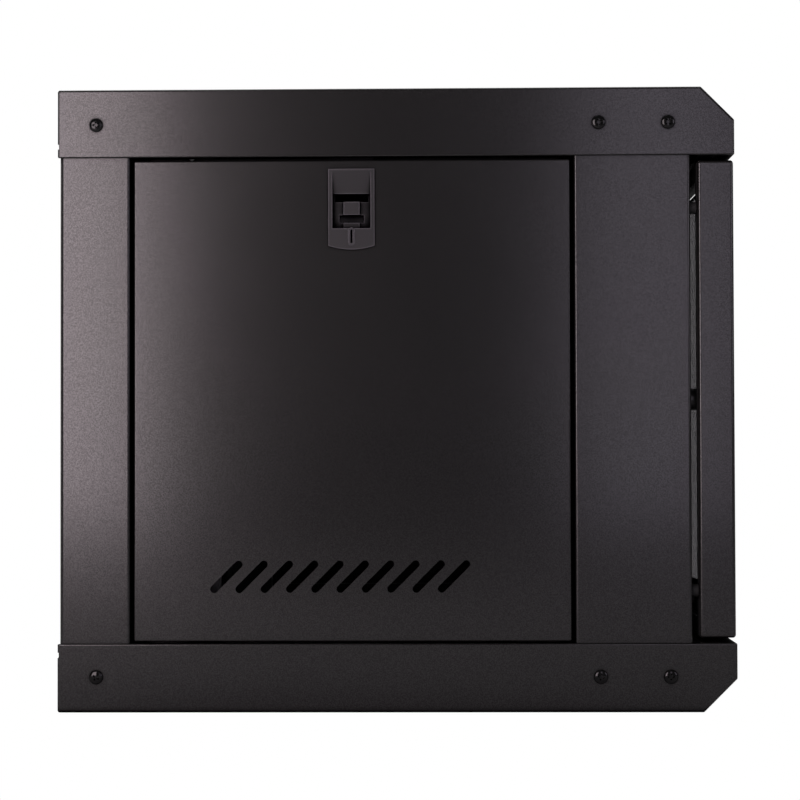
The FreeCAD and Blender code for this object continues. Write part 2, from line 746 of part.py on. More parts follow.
def side_panel():
    """Left panel: shallow tray with ten slanted vents, latch window, tongue slot and two hooks."""
    tray = panel_block(0.0, PANEL_EDGE_RADIUS).cut(panel_block(PANEL_SHEET, PANEL_EDGE_RADIUS - PANEL_SHEET))
    half = LATCH_BODY_WIDTH / 2 + LATCH_FIT
    low, high = latch_body_span()
    window = box(
        -SIDE - 1, -SIDE + 2, PANEL_MIDDLE - half, PANEL_MIDDLE + half, low - LATCH_FIT, high + LATCH_FIT)
    tray = tray.cut(Part.makeCompound(vent_slots() + [window, tongue_slot()]))
    return joined([tray] + [panel_hook(y) for y in hook_places()])


def latch_body_span():
    margin = (LATCH_WIDTH - LATCH_BODY_WIDTH) / 2
    return LATCH_TOP - LATCH_HEIGHT + margin, LATCH_TOP - margin


def latch_face():
    """Outer plate of the latch: a rectangle with a bowed lower edge, standing proud of the panel."""
    half = LATCH_WIDTH / 2
    low = LATCH_TOP - LATCH_HEIGHT
    places = ((-half, low), (-half, LATCH_TOP), (half, LATCH_TOP), (half, low))
    corners = [V(-SIDE, PANEL_MIDDLE + y, z) for y, z in places]
    bow = Part.Arc(corners[3], V(-SIDE, PANEL_MIDDLE, low - LATCH_BOW), corners[0]).toShape()
    edges = [Part.makeLine(a, b) for a, b in zip(corners, corners[1:])] + [bow]
    return Part.Face(Part.Wire(edges)).extrude(V(-LATCH_PROUD, 0, 0))


def latch_housing():
    """Moulded housing: face plate, channel for the slider, finger pocket under a sloping hood, key slot."""
    low, high = latch_body_span()
    half = LATCH_BODY_WIDTH / 2
    back = -SIDE + LATCH_BODY_DEPTH
    y0, y1 = PANEL_MIDDLE - half, PANEL_MIDDLE + half
    body = latch_face().fuse(box(-SIDE, back, y0, y1, low, high))
    channel = half - LATCH_WALL
    plate = -SIDE + TONGUE_INSET - LATCH_FIT
    slider_back = plate + TONGUE_PLATE + 3 * LATCH_FIT + 4 * LEAF_SHEET
    pocket_low = LATCH_TOP - POCKET_BOTTOM
    floor = pocket_low - 3.0
    body = body.cut(box(
        plate, slider_back, PANEL_MIDDLE - channel, PANEL_MIDDLE + channel, floor, high + 1))
    # finger pocket, open to the slider plate behind it
    side = channel - 0.3
    pocket_high = LATCH_TOP - SLOPE_BOTTOM
    body = body.cut(box(
        -SIDE - LATCH_PROUD - 1, plate + 0.1, PANEL_MIDDLE - side, PANEL_MIDDLE + side,
        pocket_low, pocket_high))
    # sloping hood above the pocket
    outer = -SIDE - LATCH_PROUD
    wedge = [
        V(outer - 0.1, 0, LATCH_TOP - 2.0), V(outer - 0.1, 0, pocket_high - 0.1),
        V(outer + SLOPE_DEPTH, 0, pocket_high - 0.1), V(outer, 0, LATCH_TOP - 2.0),
    ]
    wedge = [V(p.x, PANEL_MIDDLE - side, p.z) for p in wedge]
    body = body.cut(prism(wedge, V(0, 2 * side, 0)))
    # window in the back that shows the leaf spring, and the key slot
    sill = LATCH_WALL + WINDOW_SILL
    body = body.cut(box(slider_back - 1, back + 1, y0 + sill, y1 - sill, pocket_low + 6, high - 8))
    at = V(outer - 1, PANEL_MIDDLE, pocket_low - 1.0 - KEY_SLOT_LENGTH / 2)
    key = round_slot(KEY_SLOT_WIDTH, KEY_SLOT_LENGTH, LATCH_BODY_DEPTH / 2, at, V(0, 0, 1), V(1, 0, 0))
    rim = round_slot(
        KEY_SLOT_WIDTH + 2 * KEY_RIM, KEY_SLOT_LENGTH + 2 * KEY_RIM, KEY_RIM_RISE + 0.5,
        V(outer - KEY_RIM_RISE, at.y, at.z), V(0, 0, 1), V(1, 0, 0))
    return body.fuse(rim).cut(key).removeSplitter()


def latch_slider():
    """Slider: wide tongue head, thin plate and a stepped finger grip."""
    outer = -SIDE + TONGUE_INSET
    back = outer + TONGUE_PLATE
    tip = HEIGHT - COVER_HEIGHT - TONGUE_TIP_GAP
    _, high = latch_body_span()
    neck = high + 1.2
    half = TONGUE_WIDTH / 2
    head = box(back - TONGUE_HEAD, back, PANEL_MIDDLE - half, PANEL_MIDDLE + half, neck, tip)
    face = back - TONGUE_HEAD - 0.1
    slope = [
        V(face, PANEL_MIDDLE - half, tip - TONGUE_SLOPE), V(face, PANEL_MIDDLE - half, tip + 0.1),
        V(face + TONGUE_SLOPE / 2, PANEL_MIDDLE - half, tip + 0.1),
    ]
    head = head.cut(prism(slope, V(0, 2 * half, 0)))
    plate_half = LATCH_BODY_WIDTH / 2 - LATCH_WALL - LATCH_FIT
    pocket_low = LATCH_TOP - POCKET_BOTTOM
    plate = box(
        outer, back, PANEL_MIDDLE - plate_half, PANEL_MIDDLE + plate_half, pocket_low - 2.0, neck + 0.5)
    # opening between the hood and the grip, and a thumb recess below the grip
    grip_top = LATCH_TOP - POCKET_TOP
    grip = grip_top - GRIP_HEIGHT
    gap = plate_half - SLIDER_STRIP
    plate = plate.cut(box(
        outer - 1, back + 1, PANEL_MIDDLE - gap, PANEL_MIDDLE + gap, grip_top, LATCH_TOP - SLOPE_BOTTOM + 3))
    half = THUMB_WIDTH / 2
    lower = grip - THUMB_HEIGHT
    thumb = [
        V(outer - 0.1, PANEL_MIDDLE - half, lower), V(outer - 0.1, PANEL_MIDDLE - half, grip),
        V(outer + THUMB_DEPTH, PANEL_MIDDLE - half, grip),
        V(outer + THUMB_DEPTH / 8, PANEL_MIDDLE - half, lower),
    ]
    plate = plate.cut(prism(thumb, V(0, 2 * half, 0)))
    half = GRIP_WIDTH / 2
    blocks = []
    for z0, z1, rise in ((grip, grip_top, GRIP_RISE), (pocket_low + 0.6, lower, GRIP_RISE * 0.6)):
        block = box(outer - rise, outer + 0.5, PANEL_MIDDLE - half, PANEL_MIDDLE + half, z0, z1)
        blocks.append(block)
    return joined([head, plate] + blocks)


def leaf_spring():
    """Detent leaf behind the slider: a strip with a raised middle, resting in the channel."""
    near = -SIDE + TONGUE_INSET + TONGUE_PLATE + LATCH_FIT
    far = near + 3 * LEAF_SHEET + LATCH_FIT
    low = LATCH_TOP - POCKET_BOTTOM + 2
    span = (POCKET_BOTTOM - POCKET_TOP - 2) / 4
    path = [
        (far, low), (far, low + span), (near + LEAF_SHEET, low + 1.6 * span),
        (near + LEAF_SHEET, low + 2.4 * span), (far, low + 3 * span), (far, low + 4 * span),
    ]
    # the far side of the strip lies on the channel's back wall
    other = shifted_path(path, -LEAF_SHEET)
    half = GRIP_WIDTH / 2
    outline = [V(x - LEAF_SHEET, PANEL_MIDDLE - half, z) for x, z in path + other[::-1]]
    return prism(outline, V(0, 2 * half, 0))


def turned_round(shape):
    """The right-hand panel set is the left-hand one turned half round about the panel's upright middle."""
    turned = shape.copy()
    turned.rotate(V(0, PANEL_MIDDLE, 0), V(0, 0, 1), 180)
    return turned


# ---- Door ----

def door_block(inset, radius):
    block = box(
        -DOOR_X + inset, DOOR_X - inset, DOOR_FRONT + inset, DOOR_BACK - inset,
        DOOR_BOTTOM + inset, DOOR_TOP - inset)
    return block.makeFillet(radius, block.Edges)


def window_box(grow, front, back):
    """The door's window, grown all round as far as the door's top lets it."""
    top = min(DOOR_TOP - TOP_LIP + grow, DOOR_TOP - DOOR_EDGE_RADIUS - SEAT_GAP)
    return box(
        -DOOR_X + STILE - grow, DOOR_X - STILE + grow, front, back, DOOR_BOTTOM + DOOR_RAIL - grow, top)


def clip_places():
    """Point on the glass's edge and inward direction of each glass clip."""
    low = DOOR_BOTTOM + DOOR_RAIL - GLASS_OVERLAP
    side = DOOR_X - STILE + GLASS_OVERLAP
    places = [(x, low, 0, 1) for x in (-side * CLIP_SPREAD, 0.0, side * CLIP_SPREAD)]
    for rise in CLIP_RISES:
        places.append((side, MIDDLE_Z + rise, -1, 0))
        places.append((-side, MIDDLE_Z + rise, 1, 0))
    return places


def stud_place(place):
    x, z, dx, dz = place
    return V(x - dx * CLIP_FOOT * 0.6, DOOR_FRONT + DOOR_SHEET, z - dz * CLIP_FOOT * 0.6)


def door_frame():
    """Folded pan, open at the top between its stiles, with lock seat, hinge holes and clip studs."""
    door = door_block(0.0, DOOR_EDGE_RADIUS).cut(door_block(DOOR_SHEET, DOOR_EDGE_RADIUS - DOOR_SHEET))
    opening = box(
        -DOOR_X + DOOR_RETURN, DOOR_X - DOOR_RETURN, DOOR_BACK - 2 * DOOR_SHEET, DOOR_BACK + 1,
        DOOR_BOTTOM + DOOR_RETURN, DOOR_TOP - DOOR_RETURN)
    window = window_box(0.0, DOOR_FRONT - 1, DOOR_FRONT + 2 * DOOR_SHEET)
    corners = [e for e in window.Edges if abs(e.Vertexes[0].Point.y - e.Vertexes[-1].Point.y) > 1]
    window = window.makeFillet(WINDOW_CORNER, corners)
    back = V(0, 1, 0)
    lock = V(LOCK_X, DOOR_FRONT, MIDDLE_Z)
    cup = rod(LOCK_BEZEL + LOCK_FIT + DOOR_SHEET, LOCK_RECESS + DOOR_SHEET, lock, back)
    recess = rod(LOCK_BEZEL + LOCK_FIT, LOCK_RECESS, lock, back)
    bore = rod(LOCK_RADIUS + LOCK_FIT, DOOR_DEPTH, lock, back)
    reach = DOOR_X - STILE
    head = box(
        -reach, reach, GLASS_FRONT - SEAT_GAP, DOOR_BACK + 1, DOOR_TOP - DOOR_RETURN - 1, DOOR_TOP + 1)
    studs = []
    for place in clip_places():
        studs.append(rod(STUD_RADIUS, STUD_LENGTH, stud_place(place) - V(0, DOOR_SHEET / 2, 0), back))
    door = joined([door.cut(opening).cut(window).cut(head), cup] + studs)
    holes = [rod(BUSH_NECK + 0.1, DOOR_TOP, V(HINGE_X, HINGE_Y, DOOR_BOTTOM - 1), V(0, 0, 1))]
    return door.cut(Part.makeCompound([recess, bore] + holes))


def door_glass():
    glass = window_box(GLASS_OVERLAP, GLASS_FRONT, GLASS_FRONT + GLASS_SHEET)
    corners = [e for e in glass.Edges if abs(e.Vertexes[0].Point.y - e.Vertexes[-1].Point.y) > 1]
    return glass.makeFillet(GLASS_CORNER, corners)


def glass_seal():
    """Foam tape along the sides and the lower edge of the glass."""
    front = DOOR_FRONT + DOOR_SHEET
    ring = window_box(GLASS_OVERLAP - 1.0, front, front + SEAL_SHEET)
    grow = GLASS_OVERLAP - 1.0 - SEAL_WIDTH
    reach = DOOR_X - STILE + grow
    return ring.cut(box(
        -reach, reach, front - 1, front + SEAL_SHEET + 1, DOOR_BOTTOM + DOOR_RAIL - grow, DOOR_TOP))


def glass_clip(place):
    """Folded clip: foot on the door's inner face, finger on the glass."""
    x, z, dx, dz = place
    inner = DOOR_FRONT + DOOR_SHEET
    finger = GLASS_FRONT + GLASS_SHEET
    start = -CLIP_FOOT - 0.5
    path = [(start, inner), (-0.5 - CLIP_SHEET, inner), (-0.5 - CLIP_SHEET, finger), (CLIP_FINGER, finger)]
    outline = path + shifted_path(path, CLIP_SHEET)[::-1]
    along, across = V(dx, 0, dz), V(dz, 0, -dx)
    origin = V(x, 0, z) - across * (CLIP_WIDTH / 2)
    clip = prism([origin + along * a + V(0, y, 0) for a, y in outline], across * CLIP_WIDTH)
    return clip.cut(rod(STUD_RADIUS + 0.1, 8, stud_place(place) - V(0, 1, 0), V(0, 1, 0)))


def clip_nut(place):
    at = stud_place(place) + V(0, CLIP_SHEET, 0)
    return plain_nut(at, V(0, 1, 0), 4.0, 3.0, STUD_RADIUS + 0.05)


def door_buffers():
    """Rubber buffers on the left post, on which the closed door rests."""
    thickness = DOOR_POST_GAP - SEAT_GAP
    x = -(SIDE - POST_FLANGE / 2)
    heights = (DOOR_BOTTOM + BUFFER_HEIGHT, DOOR_TOP - BUFFER_HEIGHT)
    return [rod(BUFFER_RADIUS, thickness, V(x, POST_FRONT, z), V(0, -1, 0)) for z in heights]


# ---- Lock ----

def lock_body():
    """Barrel with a round bezel; the door's nut clamps it."""
    seat = DOOR_FRONT + LOCK_RECESS
    end = POST_FRONT + POST_SHEET - 0.5
    bezel = rod(LOCK_BEZEL, LOCK_RECESS + 0.3, V(LOCK_X, DOOR_FRONT - 0.3, MIDDLE_Z), V(0, 1, 0))
    rim = [e for e in bezel.Edges if abs(e.CenterOfMass.y - DOOR_FRONT + 0.3) < 0.01]
    bezel = bezel.makeFillet(0.8, rim)
    barrel = rod(LOCK_RADIUS, end - seat, V(LOCK_X, seat, MIDDLE_Z), V(0, 1, 0))
    bore = rod(LOCK_PLUG + LOCK_FIT, DOOR_DEPTH * 2, V(LOCK_X, DOOR_FRONT - 1, MIDDLE_Z), V(0, 1, 0))
    return bezel.fuse(barrel).cut(bore).removeSplitter()


def lock_nut():
    at = V(LOCK_X, DOOR_FRONT + LOCK_RECESS + DOOR_SHEET, MIDDLE_Z)
    return plain_nut(at, V(0, 1, 0), LOCK_NUT, LOCK_NUT_HEIGHT, LOCK_RADIUS + 0.05)


def cam_front():
    return POST_FRONT + POST_SHEET + CAM_CLEARANCE


def lock_plug():
    """Turning plug with a key slot in its face and a square tail for the cam."""
    front = DOOR_FRONT - 0.1
    plug = rod(LOCK_PLUG, cam_front() - front, V(LOCK_X, front, MIDDLE_Z), V(0, 1, 0))
    half = CAM_SQUARE / 2
    tail = box(
        LOCK_X - half, LOCK_X + half, cam_front() - 0.5, cam_front() + CAM_SHEET,
        MIDDLE_Z - half, MIDDLE_Z + half)
    key = box(LOCK_X - 0.8, LOCK_X + 0.8, front - 1, front + 12, MIDDLE_Z - 4.0, MIDDLE_Z + 4.0)
    return plug.fuse(tail).cut(key).removeSplitter()


def lock_cam():
    """Cam plate, hanging down when unlocked."""
    half = CAM_WIDTH / 2
    middle = V(LOCK_X, cam_front(), MIDDLE_Z - (CAM_LENGTH - half) / 2)
    cam = round_slot(CAM_WIDTH, CAM_LENGTH + half, CAM_SHEET, middle, V(0, 0, 1), V(0, 1, 0))
    hole = CAM_SQUARE / 2 + 0.05
    return cam.cut(box(
        LOCK_X - hole, LOCK_X + hole, cam_front() - 1, cam_front() + 9, MIDDLE_Z - hole, MIDDLE_Z + hole))


def cam_screw():
    end = cam_front() + CAM_SHEET
    return hexagon(6.0, 3.0, V(LOCK_X, end, MIDDLE_Z), V(0, 1, 0))


# ---- Hinge ----

def hinge_pin_top():
    """Spring pin in the door's top: it drops to free the door."""
    top = HEIGHT - COVER_HEIGHT + COVER_SHEET + PIN_REACH
    low = guide_top() - PIN_TAIL
    pin = rod(PIN_RADIUS, top - low, V(HINGE_X, HINGE_Y, low), V(0, 0, 1))
    tip = [e for e in pin.Edges if abs(e.CenterOfMass.z - top) < 0.01 and e.Length > 1]
    pin = pin.makeChamfer(1.0, tip)
    collar_top = DOOR_TOP - DOOR_SHEET - 2.6
    collar = rod(COLLAR_RADIUS, COLLAR_HEIGHT, V(HINGE_X, HINGE_Y, collar_top - COLLAR_HEIGHT), V(0, 0, 1))
    handle = rod(PIN_RADIUS - 0.5, 16.0, V(HINGE_X, HINGE_Y, low + PIN_RADIUS), V(-1, 0, 0))
    return joined([pin, collar, handle])


def guide_top():
    return DOOR_TOP - GUIDE_DROP


def hinge_guide():
    """Angle welded inside the door that guides the spring pin's lower end."""
    high = guide_top()
    side = DOOR_X - DOOR_SHEET
    arm = box(HINGE_X - 7, side, HINGE_Y - 7, HINGE_Y + 7, high - GUIDE_SHEET, high)
    leg = box(side - GUIDE_SHEET, side, HINGE_Y - 7, HINGE_Y + 7, high - 16, high)
    guide = arm.fuse(leg).removeSplitter()
    return guide.cut(rod(PIN_RADIUS + PIN_FIT, 6, V(HINGE_X, HINGE_Y, high - 4), V(0, 0, 1)))


def hinge_spring():
    """Coil spring between the guide and the pin's collar."""
    low = guide_top() + SPRING_WIRE + 0.05
    high = DOOR_TOP - DOOR_SHEET - 2.6 - COLLAR_HEIGHT - SPRING_WIRE - 0.05
    radius = PIN_RADIUS + SPRING_WIRE + 0.3
    helix = Part.makeHelix((high - low) / SPRING_COILS, high - low, radius)
    wire = Part.Wire(Part.makeCircle(SPRING_WIRE, V(radius, 0, 0), V(0, 1, 0)))
    coil = Part.Wire(helix).makePipeShell([wire], True, True)
    coil.translate(V(HINGE_X, HINGE_Y, low))
    return coil


def hinge_bush_top():
    """Nylon bush in the door's top, around the spring pin."""
    at = V(HINGE_X, HINGE_Y, DOOR_TOP)
    body = rod(BUSH_RADIUS, DOOR_END_GAP - SEAT_GAP, at, V(0, 0, 1))
    neck = rod(BUSH_NECK, DOOR_SHEET + 2.0, at, V(0, 0, -1))
    bore = rod(PIN_RADIUS + PIN_FIT, 4 * DOOR_END_GAP, at - V(0, 0, 2 * DOOR_END_GAP), V(0, 0, 1))
    return body.fuse(neck).cut(bore).removeSplitter()


def hinge_pin_bottom():
    """Fixed pin, riveted in the bottom cover's front lip."""
    at = V(HINGE_X, HINGE_Y, COVER_HEIGHT - COVER_SHEET)
    head = rod(COLLAR_RADIUS, 2.0, at, V(0, 0, -1))
    shank = rod(PIN_RADIUS, COVER_SHEET + DOOR_END_GAP + DOOR_SHEET + 6.0, at, V(0, 0, 1))
    return head.fuse(shank).removeSplitter()


def hinge_bush_bottom():
    at = V(HINGE_X, HINGE_Y, DOOR_BOTTOM)
    body = rod(BUSH_RADIUS, DOOR_END_GAP - SEAT_GAP, at, V(0, 0, -1))
    neck = rod(BUSH_NECK, DOOR_SHEET + 2.0, at, V(0, 0, 1))
    bore = rod(PIN_RADIUS + PIN_FIT, 4 * DOOR_END_GAP, at - V(0, 0, 2 * DOOR_END_GAP), V(0, 0, 1))
    return body.fuse(neck).cut(bore).removeSplitter()


def earth_studs():
    """Earthing studs on the floor beside the cable entry, each with its nut."""
    studs = []
    for x in (-CABLE_LENGTH / 2 - EARTH_REACH, CABLE_LENGTH / 2 + EARTH_REACH):
        at = V(x, CABLE_MIDDLE, COVER_SHEET)
        nut = hexagon(NUT_RADIUS, NUT_HEIGHT, at, V(0, 0, 1))
        studs.append(rod(SCREW_RADIUS, EARTH_LENGTH, at, V(0, 0, 1)).fuse(nut))
    return studs


# ---- All nodes ----

def cabinet_nodes():
    bottom = bottom_cover()
    plate = cable_plate()
    screws = cable_plate_screws()
    lower = lower_bracket()
    upper = mirror_z(lower)
    left = {"front_post": front_post(), "rear_post": rear_post()}
    nodes = {
        "bottom_cover": bottom, "top_cover": top_cover(bottom),
        "bottom_cable_plate": plate, "top_cable_plate": mirror_z(plate),
        "cable_plate_screws": group(screws + [mirror_z(screw) for screw in screws]),
        "back_panel": back_panel(), "back_panel_screws": group(back_panel_screws()),
        "cover_screws": group(cover_screws()), "clinch_nuts": group(clinch_nuts()),
        "lower_bracket_left": lower, "lower_bracket_right": mirror_x(lower),
        "upper_bracket_left": upper, "upper_bracket_right": mirror_x(upper),
        "bracket_screws": group(bracket_screws()), "bracket_nuts": group(bracket_nuts()),
        "hinge_pin_bottom": hinge_pin_bottom(), "door_buffers": group(door_buffers()),
        "earth_studs": group(earth_studs()),
    }
    for name, shape in left.items():
        nodes[name + "_left"] = shape
        nodes[name + "_right"] = mirror_x(shape)
    return nodes


def rail_nodes():
    nodes = {}
    for place, rail_y, facing in (("front", FRONT_RAIL_Y, -1), ("rear", REAR_RAIL_Y, 1)):
        pieces = {
            "rack_rail": drilled_rail(rail_y, facing),
            "rail_bolts": group(rail_bolts(rail_y, facing)),
            "rail_nuts": group(rail_nuts(rail_y, facing)),
        }
        for name, shape in pieces.items():
            nodes[f"{name}_{place}_left"] = shape
            nodes[f"{name}_{place}_right"] = mirror_x(shape)
    return nodes


def side_nodes():
    pieces = {
        "side_panel": side_panel(), "latch_housing": latch_housing(),
        "latch_slider": latch_slider(), "latch_leaf_spring": leaf_spring(),
    }
    nodes = {}
    for name, shape in pieces.items():
        nodes[name + "_left"] = shape
        nodes[name + "_right"] = turned_round(shape)
    return nodes


def door_nodes():
    return {
        "door_frame": door_frame(), "door_glass": door_glass(), "glass_seal": glass_seal(),
        "glass_clips": group([glass_clip(place) for place in clip_places()]),
        "glass_clip_nuts": group([clip_nut(place) for place in clip_places()]),
        "lock_body": lock_body(), "lock_nut": lock_nut(), "lock_plug": lock_plug(),
        "lock_cam": lock_cam(), "lock_cam_screw": cam_screw(),
        "hinge_pin_top": hinge_pin_top(), "hinge_guide": hinge_guide(), "hinge_spring": hinge_spring(),
        "hinge_bush_top": hinge_bush_top(), "hinge_bush_bottom": hinge_bush_bottom(),
    }


def main():
    os.makedirs("parts", exist_ok=True)
    nodes = {**cabinet_nodes(), **rail_nodes(), **side_nodes(), **door_nodes()}
    for name, shape in nodes.items():
        shape.exportStep(f"parts/{name}.step")
        state = "" if shape.isValid() else "  NOT VALID"
        print(f"{name}: {len(shape.Solids)} solids, {shape.Volume / 1000:.1f} cm3{state}")
    print(len(nodes), "nodes")


main()
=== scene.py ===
"""Dresses a wall mount network cabinet: coats, fasteners, marks, glass, stage and camera.

Everything is in metres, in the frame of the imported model: +Z up, front towards -Y.
"""

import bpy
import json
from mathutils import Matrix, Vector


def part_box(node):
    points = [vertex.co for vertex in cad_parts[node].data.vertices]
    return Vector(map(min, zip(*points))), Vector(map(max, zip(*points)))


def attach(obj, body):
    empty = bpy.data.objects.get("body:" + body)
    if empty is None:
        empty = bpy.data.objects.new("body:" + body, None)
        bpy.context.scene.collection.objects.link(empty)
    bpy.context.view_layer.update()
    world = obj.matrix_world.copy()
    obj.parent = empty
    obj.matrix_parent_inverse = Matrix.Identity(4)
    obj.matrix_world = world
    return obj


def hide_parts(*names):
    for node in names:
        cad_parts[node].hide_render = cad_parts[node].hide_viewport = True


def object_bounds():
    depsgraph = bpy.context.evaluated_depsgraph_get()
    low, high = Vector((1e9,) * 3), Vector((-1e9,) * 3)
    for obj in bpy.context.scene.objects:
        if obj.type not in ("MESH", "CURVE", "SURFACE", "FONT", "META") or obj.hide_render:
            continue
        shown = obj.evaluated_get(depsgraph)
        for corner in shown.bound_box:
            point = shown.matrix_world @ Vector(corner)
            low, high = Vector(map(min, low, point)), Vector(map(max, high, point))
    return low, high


bl_info = {
    "name": "Wall mount network cabinet",
    "version": (1, 0, 0),
    "blender": (4, 5, 0),
    "location": "3D View > Sidebar > Cabinet",
    "description": "Finishes, fasteners, rail marks and stage of a wall mount network cabinet",
    "category": "Object",
}

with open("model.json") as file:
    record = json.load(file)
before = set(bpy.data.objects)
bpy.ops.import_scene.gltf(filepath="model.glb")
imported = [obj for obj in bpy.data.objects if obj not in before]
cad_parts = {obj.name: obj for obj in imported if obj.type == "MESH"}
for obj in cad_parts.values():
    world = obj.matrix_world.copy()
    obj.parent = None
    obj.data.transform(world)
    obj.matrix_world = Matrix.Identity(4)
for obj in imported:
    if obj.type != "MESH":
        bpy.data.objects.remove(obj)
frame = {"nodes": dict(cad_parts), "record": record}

import json
import math

import bmesh
import bpy
from bpy.props import FloatProperty, FloatVectorProperty, IntProperty, PointerProperty
from mathutils import Matrix, Vector

CAD_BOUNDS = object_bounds()
SLOT_OF = {part["node"]: part["material_slot"] for part in frame["record"]["subparts"]}
BODY_OF = {node: body for body, nodes in frame["record"]["behaviour"]["bodies"].items() for node in nodes}

# Looks that every finish shares.
DUST_COLOUR = (0.09, 0.088, 0.084)
ROUGHNESS_SPREAD = 0.08     # how far the roughness drifts, as a share of itself
PAINTED_SHADE_SHARE = 0.1          # share of its colour that a surface keeps deep in a pocket, as painted shade
SLANT_LIMITS = (0.5, 0.9)   # how far edge-on a surface is where grazing starts and is complete
SPECK_LIMITS = (0.36, 0.64)     # noise under the first is no speck, over the second a full one
WORN_AND_LIT_LIMITS = (0.995, 0.85)     # cosine between flat and rounded normals: plain face, edge fully lightened by rubbing and painted highlight
DUSTY_FROM = 0.3                # upward part of the normal where dust starts to settle
PAINTED_SHADE_LIMITS = (0.55, 0.97)      # share of open view: closed pocket in full painted shade, open face without it

# Fixed measures of the pieces that are made here.
RAIL_MARGIN = 0.020         # plain metal at each end of a rail, past its rack units
MARK_COLUMN = 0.40          # where the numbers stand across a rail, from its outer edge
INK_RELIEF = 0.00004        # half the thickness of the printed ink
INK_LIFT = 0.00003          # distance of the ink's middle from the rail's face
SCREW_TURN = 37.0           # degrees that each cover screw is turned from the one before
SHARP_ANGLE = math.radians(35.0)    # creases over this stay sharp on a cover screw

# Fixed parts of the stage.
WHITE = (1.0, 1.0, 1.0, 1.0)
FLOOR_COLOUR = (0.80, 0.80, 0.80, 1.0)
FLOOR_GAP = 0.0005          # from the cabinet's lowest face to the floor
MIRRORED_GLOW = 0.4         # share of the pale background that a surface mirrors
ROSY, COOL = (1.0, 0.86, 0.91), (1.0, 0.90, 1.07)   # tints of the lamps


# ---- What a user would change ----

class CabinetFinish(bpy.types.PropertyGroup):
    """Colours and surface of the cabinet's finishes"""
    coat: FloatVectorProperty(
        name="Powder coat", description="Colour of the textured powder coat on the folded sheets",
        subtype="COLOR", size=3, min=0.0, max=1.0, default=(0.0066, 0.0061, 0.0062))
    coat_roughness: FloatProperty(
        name="Coat roughness", description="Roughness of the powder coat",
        subtype="FACTOR", min=0.0, max=1.0, default=0.18)
    grain: FloatProperty(
        name="Coat grain", description="Width of one grain of the powder coat's texture",
        subtype="DISTANCE", unit="LENGTH", min=0.0001, max=0.01, default=0.0009)
    rail: FloatVectorProperty(
        name="Rail coat", description="Colour of the smooth coat on the rack rails",
        subtype="COLOR", size=3, min=0.0, max=1.0, default=(0.020, 0.020, 0.021))
    latch: FloatVectorProperty(
        name="Latch plastic", description="Colour of the moulded slide latches",
        subtype="COLOR", size=3, min=0.0, max=1.0, default=(0.0130, 0.0122, 0.0138))
    glass: FloatVectorProperty(
        name="Glass tint", description="Tint of the door's toughened glass",
        subtype="COLOR", size=3, min=0.0, max=1.0, default=(0.215, 0.205, 0.215))
    mark: FloatVectorProperty(
        name="Unit marks", description="Ink of the unit numbers on the rails",
        subtype="COLOR", size=3, min=0.0, max=1.0, default=(0.62, 0.62, 0.60))


class CabinetSizes(bpy.types.PropertyGroup):
    """Sizes of the pieces that are made here"""
    head_radius: FloatProperty(
        name="Screw head radius", description="Radius of a cover screw's pan head",
        subtype="DISTANCE", unit="LENGTH", min=0.001, max=0.02, default=0.0054)
    recess_reach: FloatProperty(
        name="Recess reach", description="Length of one arm of the cross in a cover screw",
        subtype="DISTANCE", unit="LENGTH", min=0.0005, max=0.01, default=0.0031)
    recess_depth: FloatProperty(
        name="Recess depth", description="Depth of the cross in a cover screw",
        subtype="DISTANCE", unit="LENGTH", min=0.0002, max=0.005, default=0.0016)
    shank_radius: FloatProperty(
        name="Shank radius", description="Radius of a cover screw's shank",
        subtype="DISTANCE", unit="LENGTH", min=0.0005, max=0.01, default=0.0025)
    mark_height: FloatProperty(
        name="Mark height", description="Height of the unit numbers on the rails",
        subtype="DISTANCE", unit="LENGTH", min=0.001, max=0.02, default=0.0075)
    rack_units: IntProperty(
        name="Rack units", description="Number of rack units that the rails count",
        min=1, max=40, default=9)


class CabinetStage(bpy.types.PropertyGroup):
    """Floor, lamps and camera"""
    floor_reach: FloatProperty(
        name="Floor reach", description="Distance from the cabinet to the floor's edge",
        subtype="DISTANCE", unit="LENGTH", min=1.0, max=60.0, default=30.0)
    ambient: FloatProperty(
        name="Ambient", description="Strength of the studio's even light", min=0.0, max=2.0, default=0.13)
    key_power: FloatProperty(
        name="Key lamp", description="Power of the soft lamp behind and above the side",
        subtype="POWER", unit="POWER", min=0.0, max=500.0, default=32.0)
    fill_power: FloatProperty(
        name="Fill lamp", description="Power of the soft lamp ahead of the side",
        subtype="POWER", unit="POWER", min=0.0, max=500.0, default=2.0)
    corner_power: FloatProperty(
        name="Corner lamp", description="Power of the soft lamp that faces the corner of side and door",
        subtype="POWER", unit="POWER", min=0.0, max=500.0, default=6.8)
    front_power: FloatProperty(
        name="Front lamp", description="Power of the soft lamp before the door",
        subtype="POWER", unit="POWER", min=0.0, max=500.0, default=14.0)
    rear_power: FloatProperty(
        name="Rear lamp", description="Power of the soft lamp behind the far side",
        subtype="POWER", unit="POWER", min=0.0, max=500.0, default=14.0)
    top_power: FloatProperty(
        name="Top lamp", description="Power of the soft lamp overhead",
        subtype="POWER", unit="POWER", min=0.0, max=500.0, default=16.0)
    lens: FloatProperty(
        name="Lens", description="Focal length of the camera, in millimetres",
        min=20.0, max=400.0, default=100.06)
    camera_place: FloatVectorProperty(
        name="Camera place", description="Where the camera stands",
        subtype="XYZ", unit="LENGTH", size=3, default=(-2.1000, -0.0411, 0.2117))
    camera_aim: FloatVectorProperty(
        name="Camera aim", description="The point that the camera looks at",
        subtype="XYZ", unit="LENGTH", size=3, default=(-0.3000, -0.0035, 0.2525))
    camera_roll: FloatProperty(
        name="Camera roll", description="Turn of the camera about its own axis",
        subtype="ANGLE", unit="ROTATION", min=-0.2, max=0.2, default=math.radians(-0.165))


# ---- Node groups ----

